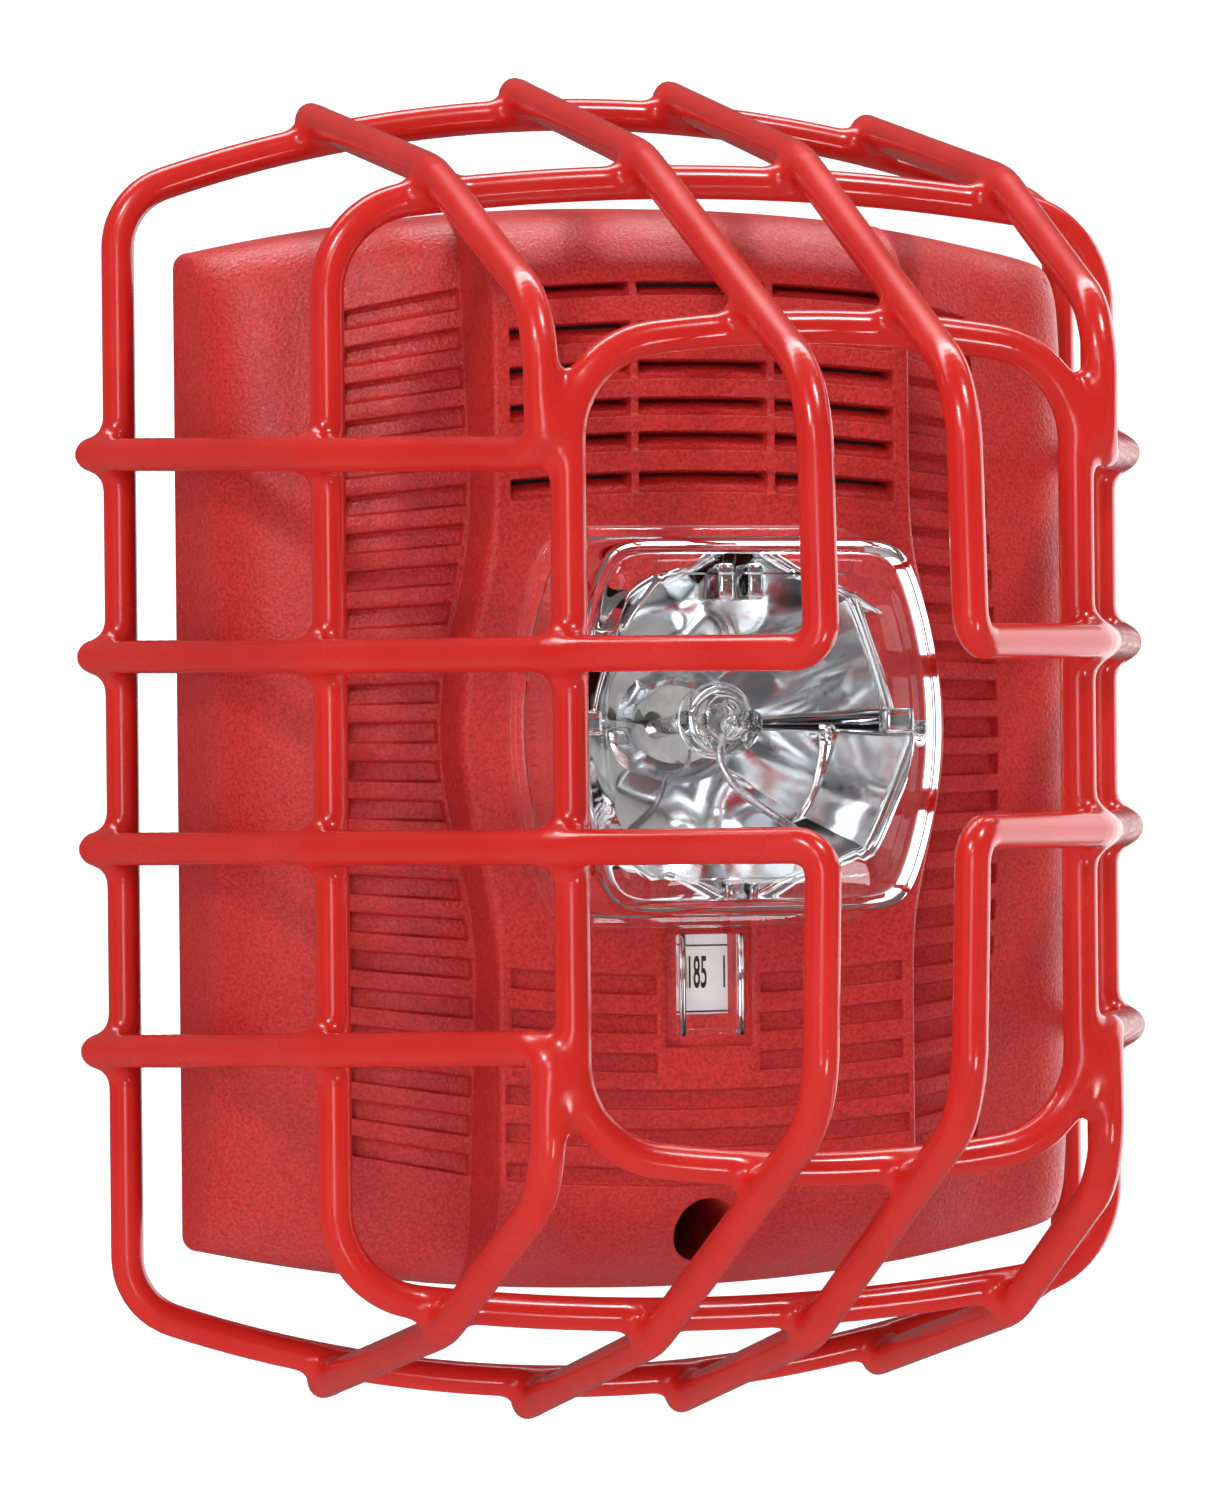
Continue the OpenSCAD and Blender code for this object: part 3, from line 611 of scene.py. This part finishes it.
def panel_rows():
    """Rows of a side panel: (kind, value, -1 at the foot, 0 or 1 at the top)."""
    fan = []
    for k in LOUVRES:
        low, high = k * LOUVRE_PITCH - LOUVRE_H / 2, k * LOUVRE_PITCH + LOUVRE_H / 2
        fan += edges([low]) + [low + 0.8, high - 0.8] + edges([high]) + [high + 1.1]
    fan.pop()
    ends = [("gap", s) for s in (0.3, 0.65)]
    ends += [("roll", a) for a in (*range(0, ROLL_END + 1, 8), ROLL_END)]
    ends += [("face", s) for s in (0.3, 0.65, 1.0)]
    return ([(kind, v, -1) for kind, v in reversed(ends)] + [("fan", v, 0) for v in fan]
            + [(kind, v, 1) for kind, v in ends])


def panel_grid(side):
    """One side panel as rows of points, with its fan of blind louvres."""
    rows = panel_rows()
    last = max(v for kind, v, _ in rows if kind == "fan")
    inner_t = [1.25, 1.12, 1.0] + [1 - v for v in (0.012, 0.02, 0.035, 0.2, 0.4, 0.6, 0.8)]
    grid = []
    for kind, value, end in rows:
        z_guess = LENS_Z + value if kind == "fan" else end * 55
        inner = column_half(z_guess) + 0.45
        end_x = LOUVRE_X - 1.8 * (z_guess / 55) ** 2
        cols = [(end_x + (inner - end_x) * t, None) for t in inner_t]
        cols += [(end_x + o, None) for o in (-0.3, -0.12, 0.02, 0.16)]
        cols += [((end_x + FLANK[0][0]) / 2, None)] + FLANK
        line = []
        for x, d in cols:
            d = front_depth(x) if d is None else d
            reach = min(1.0, (d - HEAD_BACK) / 24.8)
            share = 0.7 + 0.4 * min(1, max(0, (x - 28) / 17))
            fan_t = (end_x - x) / (end_x - inner)
            squeeze = 1 + 0.05 * fan_t if fan_t > 0 else 1 - 0.055 * min(1, (x - end_x) / 15.9)

            def bowed(z):
                return d - reach * share * z * z / BOW

            z_fan = LENS_Z + (value if kind == "fan" else end * last) * squeeze
            if kind == "fan":
                z = z_fan
                mid = round(value / LOUVRE_PITCH) * LOUVRE_PITCH
                slant = 1 + 0.25 * (value - mid) / LOUVRE_H
                open_z = notch(value, mid - LOUVRE_H / 2, mid + LOUVRE_H / 2)
                depth = bowed(z) - LOUVRE_DEPTH * slant * notch(x, inner + 0.1, end_x) * open_z
            else:
                depth, z = roll_point(x, d, kind, value, z_fan, bowed)
                z *= end
            line.append((side * x, -depth, z))
        grid.append(line)
    return grid


SLOTS = [(32.3, 34.8), (37.6, 39.8), (42.0, 44.1), (46.6, 48.8), (51.4, 53.7), (57.1, 58.7)]
BLOCK_GROOVES = [(-31.0, -28.6), (-35.9, -33.6), (-40.8, -38.5)]
WIDE_GROOVES = [(-45.5, -43.1), (-50.3, -48.0), (-55.1, -52.9)]
SLOT_HALF, SLOT_DEPTH, SLOT_GAP = 25.1, 5.0, 0.5     # the gap is the slot's open upper part
RIB = (8.35, 9.65)
GROOVE_DEPTH, BLOCK_SPAN, WIDE_HALF = 1.05, (6.9, 25.8), 26.5
POCKET = (5.5, -37.6, -20, 1.1)      # for the lens's tab: half width, low, high, depth
WINDOW = (3.15, -33.5, -20, 3.6)     # over the candela strip
EDGE_X, EDGE_R = 26.9, 1.3           # where the column's front starts to round, and the radius


def column_profile(z):
    """Depth of the column's front with its rolled top and foot."""
    for start, r in (TOP_ROLL, FOOT_ROLL):
        past = math.copysign(1, start) * (z - start)
        if past > 0:
            return COLUMN_FRONT - r + math.sqrt(max(0, r * r - past ** 2))
    return COLUMN_FRONT


def within_half(x, half):
    return 1 - smooth_step(half, half + 0.2, x)


def relief(x, z):
    """How far the column's front is cut back at a point of its unbent outline."""
    x = abs(x)
    cuts = [0]
    rib = notch(x, *RIB)
    for low, high in SLOTS:
        inside = notch(z, low, high) * within_half(x, SLOT_HALF)
        if inside:
            slope = 0.35 + 1.7 * min(1, (z - low) / (high - low) / 0.75)
            gap = high - SLOT_GAP
            deep = slope + (SLOT_DEPTH - slope) * smooth_step(gap - 0.05, gap + 0.1, z)
            cuts.append(inside * (deep * (1 - rib) + 0.25 * rib))
    cuts += [GROOVE_DEPTH * notch(z, *g) * notch(x, *BLOCK_SPAN) for g in BLOCK_GROOVES]
    cuts += [GROOVE_DEPTH * notch(z, *g) * within_half(x, WIDE_HALF) for g in WIDE_GROOVES]
    cuts += [deep * notch(z, low, high) * within_half(x, half)
             for half, low, high, deep in (POCKET, WINDOW)]
    return max(cuts)


def column_rows():
    """Rows of the column as (depth or None for its own profile, z)."""
    zs = list(np.arange(-30, 31, 2.5))
    for low, high in BLOCK_GROOVES + WIDE_GROOVES:
        zs += edges([low, high]) + [(low + high) / 2]
    for low, high in SLOTS:
        zs += edges([low, high]) + [low + 0.6, low + 1.1, high - 0.56, high - 0.4, high - 0.26]
    zs += edges([POCKET[1], WINDOW[1]])
    zs += [-56.3, 56.0, -21.5, -26.2, 36.2, 40.9, 45.4, 50.1, -32.3, -42.0, -46.7, -51.6]
    for (start, r), degrees in ((FOOT_ROLL, range(-82, -14, 6)), (TOP_ROLL, range(82, 20, -6))):
        zs += [start + r * math.sin(math.radians(a)) for a in degrees]
    foot = [(HEAD_BACK, -71.05), (20.0, -70.3), (26.0, -69.8), (31.5, -68.8)]
    top = [(30.0, 69.4), (20.0, 70.3), (HEAD_BACK, 71.05)]
    return foot + [(None, z) for z in sorted(zs)] + top


def column_grid():
    """The centre column as rows of points, bent along the outline's arch."""
    half = [0, 1.6, 4.5, 7.6, 9.0, 11, 13, 15, 17, 19, 21, 23, 24.5]
    half += edges([3.2, 5.6, 6.9, 8.35, 9.65, 25.2, 25.8, 26.6], (-0.18, -0.05, 0.06, 0.18))
    half = sorted(half)
    grid = []
    for depth, z0 in column_rows():
        c = column_half(z0)
        pts = [(x, 0.0) for x in half]
        if c > EDGE_X + 1.5:
            pts += [(EDGE_X + (c - EDGE_R - EDGE_X) * t, 0.0) for t in (0.4, 1.0)]
        else:
            pts += [(EDGE_X - 0.05, 0.0), (EDGE_X, 0.0)]
        edge_r = min(EDGE_R, c - EDGE_X)
        pts += [(c - edge_r + edge_r * math.sin(a), edge_r * (1 - math.cos(a)))
                for a in np.radians((20, 40, 60, 80, 90))]
        pts += [(c + 0.1, 4.0), (c + 0.2, 9.0), (c + 0.3, 14.0)]
        bend = max(-1, min(1, z0 / 28))
        line = []
        for s in (-1, 1):
            for x, fall in (reversed(pts) if s < 0 else pts[1:]):
                front = column_profile(z0) if depth is None else depth
                cut = relief(x, z0) if depth is None and fall == 0 else 0
                d = max(HEAD_BACK, front - fall) - cut
                line.append((s * x, -d, z0 - bend * arch_drop(x)))
        grid.append(line)
    return grid


def grid_mesh(bm, grid, flip):
    """Adds rows of points as a sheet of quads."""
    verts = [[bm.verts.new([c * MM for c in p]) for p in line] for line in grid]
    for r0, r1 in zip(verts[:-1], verts[1:]):
        for a, b, c, d in zip(r0[:-1], r0[1:], r1[1:], r1[:-1]):
            bm.faces.new((a, d, c, b) if flip else (a, b, c, d))


def cut_well(bm):
    """Opens the round screw well in the column's lower roll and gives it its wall and floor."""
    def near_well(point, reach):
        flat = Vector((point.x, 0, point.z - WELL_Z * MM))
        return point.y < -38 * MM and flat.length < reach * MM

    doomed = [f for f in bm.faces if near_well(f.calc_center_median(), 5.2)]
    bmesh.ops.delete(bm, geom=doomed, context="FACES")
    rim = [e for e in bm.edges if e.is_boundary and all(near_well(v.co, 8.5) for v in e.verts)]
    levels = [(0.25, 0.0), (0.07, 0.1), (0, 0.35), (0, 6), (0, 14), (0, None)]
    loops = []
    for wider, fall in levels:
        ring = []
        for a in np.linspace(0, 2 * math.pi, WELL_SIDES, endpoint=False):
            x, z = (WELL_R + wider) * math.cos(a), WELL_Z + (WELL_R + wider) * math.sin(a)
            depth = WELL_FLOOR
            if fall is not None:
                depth = max(WELL_FLOOR, column_profile(z - arch_drop(x)) - fall)
            ring.append(bm.verts.new((x * MM, -depth * MM, z * MM)))
        loops.append(ring)
    mouth = [bm.edges.new((a, b)) for a, b in zip(loops[0], loops[0][1:] + loops[0][:1])]
    bmesh.ops.bridge_loops(bm, edges=rim + mouth)
    for r0, r1 in zip(loops[:-1], loops[1:]):
        for i in range(WELL_SIDES):
            j = (i + 1) % WELL_SIDES
            bm.faces.new((r0[i], r0[j], r1[j], r1[i]))
    bm.faces.new(loops[-1])


def in_lens_opening(point):
    return abs(point.x / MM / 18) ** 4 + abs((point.z / MM - LENS_Z) / 18) ** 4 < 1


def build_housing():
    bm = bmesh.new()
    grid_mesh(bm, column_grid(), False)
    doomed = [f for f in bm.faces if in_lens_opening(f.calc_center_median())]
    bmesh.ops.delete(bm, geom=doomed, context="FACES")
    cut_well(bm)
    grid_mesh(bm, panel_grid(1), False)
    grid_mesh(bm, panel_grid(-1), True)
    xs = [HEAD_W * math.sin(a) for a in np.linspace(-math.pi / 2, math.pi / 2, 61)]
    outline = [(x, outline_z(x)) for x in xs] + [(x, -outline_z(x)) for x in reversed(xs)]
    wall = ((0, HEAD_BACK), (2.4, HEAD_BACK), (2.4, 22))      # inset and depth of the shell's back
    rim = [[(x * (1 - inset / HEAD_W), -depth, z * (1 - inset / 67))
            for x, z in outline + outline[:1]] for inset, depth in wall]
    grid_mesh(bm, rim, False)
    bmesh.ops.recalc_face_normals(bm, faces=bm.faces)
    mesh = bpy.data.meshes.new("housing_shell")
    bm.to_mesh(mesh)
    bm.free()
    obj = add_mesh("housing_shell", mesh, MATS["housing_red"], "head", "housing_red", 50)
    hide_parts("housing")


build_housing()

# ---------- lens ----------
LENS_MID = LENS_Z + 0.4
LENS_FRONT, LENS_WALL, LENS_SEGMENTS = 74.9, 1.1, 144
CROWN, LENS_EDGE = 1.7, 3.6             # bow of the dome's front, and the radius of its edge
LENS_W, LENS_H = 23.85, 23.1            # half width and height where that edge starts
SIDE_BOW, CORNER_POWER = 5.4, 16        # bow of the lens's sides, sharpness of its corners
BASE = COLUMN_FRONT + 0.05


def barrel(a, b):
    """Lens outline: bowed sides, nearly straight top and bottom and small round corners."""
    out = []
    for t in np.linspace(0, 2 * math.pi, LENS_SEGMENTS, endpoint=False):
        c, s = abs(math.cos(t)) + 1e-9, abs(math.sin(t)) + 1e-9
        bow = SIDE_BOW * (a / 26) / b ** 2 * s * s
        side = 2 * a / (c + math.sqrt(c * c + 4 * bow * a))
        flat = b / s
        reach = (side ** -CORNER_POWER + flat ** -CORNER_POWER) ** (-1 / CORNER_POWER)
        out.append((reach * math.cos(t), reach * math.sin(t)))
    return out


def lens_skin(inset):
    """The dome's outside, or its inside at an inset, as outlines from its foot to its front."""
    if inset:
        rows = [(24.4 - inset, 23.65 - inset, BASE), (24.3 - inset, 23.6 - inset, BASE + 3)]
    else:
        rows = [(26.1, 25.3, BASE), (26.1, 25.3, BASE + 0.9), (25.85, 25.05, BASE + 1.25),
                (25.3, 24.5, BASE + 1.4), (24.7, 23.95, BASE + 1.5), (24.4, 23.65, BASE + 1.9)]
    edge_d = LENS_FRONT - CROWN - LENS_EDGE
    rows += [(24.15 - inset, 23.4 - inset, 58), (LENS_W - inset, LENS_H - inset, edge_d)]
    for a in np.radians((15, 30, 45, 60, 72, 82)):
        pulled = LENS_EDGE * (1 - math.cos(a)) + inset
        rows.append((LENS_W - pulled, LENS_H - pulled, edge_d + (LENS_EDGE - inset) * math.sin(a)))
    rows += [(20.6 * k, 20.0 * k, LENS_FRONT - inset - 1.5 * k * k)
             for k in (0.93, 0.75, 0.55, 0.35, 0.15, 0.02)]
    return [(barrel(a, b), d, LENS_MID) for a, b, d in rows]


def build_lens():
    dome = loft(lens_skin(0)[::-1] + lens_skin(LENS_WALL))
    low, high, half, rim, gap = -36.2, -23.4, 4.3, 0.85, 0.03     # tab over the candela strip
    foot, front = BASE - 0.6, BASE + 1.5
    inner = half - rim - gap
    tab = [rounded_box(-half, -half + rim, foot, front, low, high),
           rounded_box(half - rim, half, foot, front, low, high),
           rounded_box(-inner, inner, foot, front, low, low + rim),
           rounded_box(-inner, inner, BASE + 0.5, BASE + 1.1, low + rim + gap, high, 0.2)]
    obj = new_object("lens_dome", *join([dome] + tab), MATS["clear"], "head", "clear", 40)
    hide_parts("lens")


# ---------- reflector, flash tube and its wires ----------
FLASH_Z = 3.4
HOLE_R, BOWL_BACK = 2.4, 36.2             # the reflector's centre hole and its depth
BOWLS = {1: (19.6, 21.4, 64.8), -1: (23.0, 21.6, 63.2)}   # half width, height, front by side
BOWL_STEPS, BOWL_SIDES = 14, 48
FACET = 0.055                             # how far the four facets of a half bowl sink in
SQUARE = 0.86                             # below 1 an outline is squarer than an ellipse


def squared(v):
    return math.copysign(abs(v) ** SQUARE, v)


def sheet(rows):
    """Open mesh through rows of equally many points."""
    n = len(rows[0])
    faces = [(k * n + i, k * n + i + 1, (k + 1) * n + i + 1, (k + 1) * n + i)
             for k in range(len(rows) - 1) for i in range(n - 1)]
    return [p for row in rows for p in row], faces


def thicken(obj, thickness):
    solid = obj.modifiers.new("thickness", "SOLIDIFY")
    solid.thickness, solid.offset = thickness * MM, 0


def half_bowl(side):
    wide, tall, front = BOWLS[side]
    rows = []
    for t in np.linspace(0, 1, BOWL_STEPS):
        k = math.sqrt(t)
        row = []
        for a in np.linspace(0, math.pi, BOWL_SIDES + 1):
            facet = 1 - FACET * abs(math.sin(4 * a)) * k
            x = (HOLE_R + (wide - HOLE_R) * k) * squared(math.cos(a)) * facet
            z = side * (HOLE_R + (tall - HOLE_R) * k) * abs(math.sin(a)) ** SQUARE * facet
            row.append((x, -(BOWL_BACK + (front - BOWL_BACK) * t), z - 0.4 + FLASH_Z))
        rows.append(row)
    return sheet(rows)


def bowl_ledge(side):
    """The narrow step between the two half bowls at one side."""
    return sheet([[(side * (HOLE_R + wide * math.sqrt(t)), -(BOWL_BACK + deep * t), FLASH_Z - 0.4)
                   for wide, deep in ((16.9, 28.6), (20.6, 27.0))]
                  for t in np.linspace(0, 1, BOWL_STEPS)])


def build_reflector():
    """Two metallised half bowls, the lower one wider, and the bright pieces round them."""
    parts = [half_bowl(1), half_bowl(-1), bowl_ledge(-1), bowl_ledge(1)]
    obj = new_object("reflector_bowl", *join(parts), MATS["chrome"], "head", "chrome", 12)
    thicken(obj, 0.5)
    trim = []
    for x0, x1, z0, z1 in ((-15.5, -7.5, 14.5, 22.2), (6.5, 17.5, 16.5, 21.4)):
        visor = []
        for t in np.linspace(0, math.pi / 2, 12):
            rise = math.sin(t) if x0 < 0 else math.cos(t)
            x, z = x0 + (x1 - x0) * t / (math.pi / 2), z0 + (z1 - z0) * rise
            visor.append([(x, -56, z), (x, -66.0, z)])
        trim.append(sheet(visor))
    for x in (-3.2, 0.6):
        trim.append(rounded_box(x, x + 1.7, 57, 65.8, 18.5, 22.6, 0.3))
    for s in (-1, 1):
        trim.append(rounded_box(s * 20.2 - 1.6, s * 20.2 + 1.6, 62.5, 65.2, 1.8, 4.6, 0.3))
        trim.append(rounded_box(s * 1.6 - 0.4, s * 1.6 + 0.4, 60.5, 63.5, -19.0, -17.0, 0.2))
    turn = np.linspace(0, 2 * math.pi, 65)
    trim.append(sheet([[(w * squared(math.cos(a)), -d, LENS_Z + h * squared(math.sin(a)))
                        for a in turn] for w, h, d in ((14.9, 15.9, 49.9), (19.6, 19.6, 49.7))]))
    thicken(new_object("reflector_trim", *join(trim), MATS["chrome"], "head", "chrome", 30), 0.35)
    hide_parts("reflector")


def build_flash_tube():
    coil_r, post_x = 3.3, 3.3
    helix = []
    for t in np.linspace(0, 1, 60):
        a = math.pi + t * 3 * math.pi
        helix.append((coil_r * math.cos(a), -(52.5 + 5.6 * t), FLASH_Z + coil_r * math.sin(a)))
    (x0, _, z0), (x1, _, z1) = helix[0], helix[-1]
    path = [(x0, -38, z0 - 1.0), (x0, -47, z0 - 0.4)] + helix[::6] + [helix[-1]]
    path = curve_through(path + [(x1, -50, z1 - 0.6), (x1, -38, z1 - 1.0)], 7)
    coil = new_object("tube_coil", *tube(path, 1.25, 20),
                      MATS["tube_glass"], "head", "tube_glass", 60)
    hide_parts("flash_tube")
    rods = []
    for y0, dz0, y1, dz1, r in ((-24, 0, -46, -0.5, 0.4), (-46, -0.5, -48.6, -0.4, 0.8)):
        rods += [tube([(s * post_x, y0, FLASH_Z + dz0), (s * post_x, y1, FLASH_Z + dz1)], r)
                 for s in (-1, 1)]
    leads = new_object("tube_electrodes", *join(rods), MATS["steel"], "head", "steel", 40)
    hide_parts("tube_leads")
    wound_r = 4.75
    winding = [(wound_r * math.cos(a) * 0.98, -(51.6 + 0.32 * a), FLASH_Z + wound_r * math.sin(a))
               for a in np.linspace(2.2, 8.6, 40)]
    feed = [(-1, -24, -2.0), (-1.6, -40, -3.2), (-2.4, -50, -1.0), winding[0]]
    across = [(-0.4, -57.5, 1.6), (-1.1, -58.5, -1.6), (0.8, -59, -4.9),
              (4.6, -58, -7.6), (8.6, -56, -9.8), (11.6, -52.5, -11.2)]
    strands = [tube(winding, 0.16, 8), tube(curve_through(feed, 6), 0.3, 8),
               tube(curve_through(across, 8), 0.55, 12)]
    wire = new_object("trigger_strands", *join(strands), MATS["steel"], "head", "steel", 40)
    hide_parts("trigger_wire")


# ---------- candela strip ----------
STEP_X = 4.1                                  # between two settings
DIGIT_SIZE, DIGIT_NARROW, DIGIT_Z = 5.4, 0.31, -28.6
FIRST_X = -0.5                                # centre of the number that shows at rest
LINES_Z = (-25.2, -33.1)


def number_mesh(text):
    """The digits of one setting, flat and one unit to the millimetre."""
    curve = bpy.data.curves.new("digits", "FONT")
    curve.body, curve.size = text, DIGIT_SIZE
    curve.align_x, curve.align_y = "CENTER", "CENTER"
    curve.extrude, curve.resolution_u, curve.offset = 0.02, 3, 0.07
    obj = bpy.data.objects.new("digits", curve)
    scene.collection.objects.link(obj)
    bpy.context.view_layer.update()
    mesh = bpy.data.meshes.new_from_object(obj)
    bpy.data.objects.remove(obj)
    bpy.data.curves.remove(curve)
    return mesh


def build_label():
    low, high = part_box("candela_label")
    x0, x1, z0, z1 = low.x / MM, high.x / MM, low.z / MM, high.z / MM
    front = -low.y / MM
    card = new_object("label_strip", *rounded_box(x0, x1, front - 0.3, front, z0, z1, 0.08),
                      MATS["label_white"], "candela", "label_white", 30)
    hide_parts("candela_label")
    bm = bmesh.new()
    upright = Matrix.Rotation(math.pi / 2, 4, "X") @ Matrix.Diagonal((DIGIT_NARROW, 1, 1, 1))
    for i, text in enumerate(("185", "150", "110", "75")):
        mesh = number_mesh(text)
        place = (FIRST_X + STEP_X * i, -front - 0.03, DIGIT_Z)
        mesh.transform(Matrix.Translation(place) @ upright)
        bm.from_mesh(mesh)
    for z in LINES_Z:
        points, faces = rounded_box(x0 + 0.1, x1 - 0.1, front, front + 0.04, z - 0.1, z + 0.1, 0.01)
        verts = [bm.verts.new(p) for p in points]
        for face in faces:
            bm.faces.new([verts[k] for k in face])
    bmesh.ops.scale(bm, vec=(MM, MM, MM), verts=bm.verts)
    mesh = bpy.data.meshes.new("label_print")
    bm.to_mesh(mesh)
    bm.free()
    ink = plastic("ink", (0.01, 0.01, 0.01), 0.4)
    add_mesh("label_print", mesh, ink, "candela", "black_plastic", 30)


build_lens()
build_reflector()
build_flash_tube()
build_label()

# ---------- stage, lights and camera ----------
def stage():
    """Pale floor that bends up into a back wall; it leaves no reflection on the object."""
    floor_z, bend_y, bend_r = -0.32, 0.9, 0.9
    bend = [(bend_y + bend_r * math.sin(a), floor_z + bend_r * (1 - math.cos(a)))
            for a in np.linspace(0, math.pi / 2, 17)]
    profile = [(-3.0, floor_z)] + bend + [(bend_y + bend_r, 3.0)]
    mesh = bpy.data.meshes.new("backdrop")
    verts, faces = sheet([[(x, y, z) for y, z in profile] for x in (-4.0, 4.0)])
    mesh.from_pydata(verts, [], faces)
    obj = bpy.data.objects.new("backdrop", mesh)
    scene.collection.objects.link(obj)
    dark, light = (0.92,) * 3, (0.94,) * 3
    mat = material("paper", light, Roughness=0.9)
    vary_color(mat, noise(mat, 3), (0.3, dark), (0.7, light))
    mesh.materials.append(mat)
    shade(mesh, 180)
    obj.visible_glossy = False


def area(name, place, size, power, target=(0, -0.05, 0), glossy=True):
    data = bpy.data.lights.new(name, "AREA")
    data.shape = "RECTANGLE"
    data.size, data.size_y = size
    data.energy = power
    obj = bpy.data.objects.new(name, data)
    scene.collection.objects.link(obj)
    obj.location = place
    aim = Vector(target) - Vector(place)
    obj.rotation_euler = aim.to_track_quat("-Z", "Y").to_euler()
    obj.visible_glossy = glossy


stage()
area("key_high", (0.40, -0.72, 1.0), (0.22, 0.22), 6)
area("key_low", (0.40, -1.12, -0.48), (0.2, 0.2), 2.6)
area("key_left", (-0.75, -0.85, 0.75), (0.2, 0.2), 4.5)
area("card_front", (-0.47, -1.21, 0.0), (0.28, 0.42), 1.3)
area("card_above", (-0.50, -1.11, 0.47), (0.22, 0.22), 0.8)
area("card_below", (-0.36, -1.2, -0.42), (0.3, 0.12), 0.6)
area("card_right", (0.85, 0.4, 0.0), (1.0, 1.0), 6.5, target=(0, 0, 0))
area("fill_left", (-1.15, -0.75, 0.05), (0.5, 0.9), 4.2, glossy=False)
area("fill_right", (1.05, -0.85, -0.1), (0.4, 0.8), 3.0, glossy=False)
area("fill_front", (-0.45, -1.25, 0.05), (0.3, 0.3), 1.6, glossy=False)
area("backdrop_light", (0, 0.5, 1.5), (1.8, 0.8), 30, target=(0, 1.6, 0.1))
area("floor_light", (0, 0.3, 0.9), (1.8, 0.5), 6, target=(0, 0.9, -0.3))

world = bpy.data.worlds.new("studio")
scene.world = world
world.use_nodes = True
sky = world.node_tree.nodes["Background"]
sky.inputs["Color"].default_value = (1, 1, 1, 1)
sky.inputs["Strength"].default_value = 0.12

YAW, PITCH, ROLL = (math.radians(a) for a in (16.906, -0.186, -0.55))
CAMERA_AT = (-0.23712, -0.78821, 0.00236)
forward = Vector((math.sin(YAW) * math.cos(PITCH), math.cos(YAW) * math.cos(PITCH),
                  math.sin(PITCH)))
right = Vector((math.cos(YAW), -math.sin(YAW), 0))
up = right.cross(forward)
rolled_right = right * math.cos(ROLL) + up * math.sin(ROLL)
rolled_up = up * math.cos(ROLL) - right * math.sin(ROLL)
turned = Matrix((rolled_right, rolled_up, -forward)).transposed().to_4x4()
camera = bpy.data.objects.new("camera", bpy.data.cameras.new("camera"))
scene.collection.objects.link(camera)
camera.matrix_world = Matrix.Translation(CAMERA_AT) @ turned
camera.data.sensor_width = 36
camera.data.lens = 147.8736
camera.data.clip_start, camera.data.clip_end = 0.01, 20
scene.camera = camera
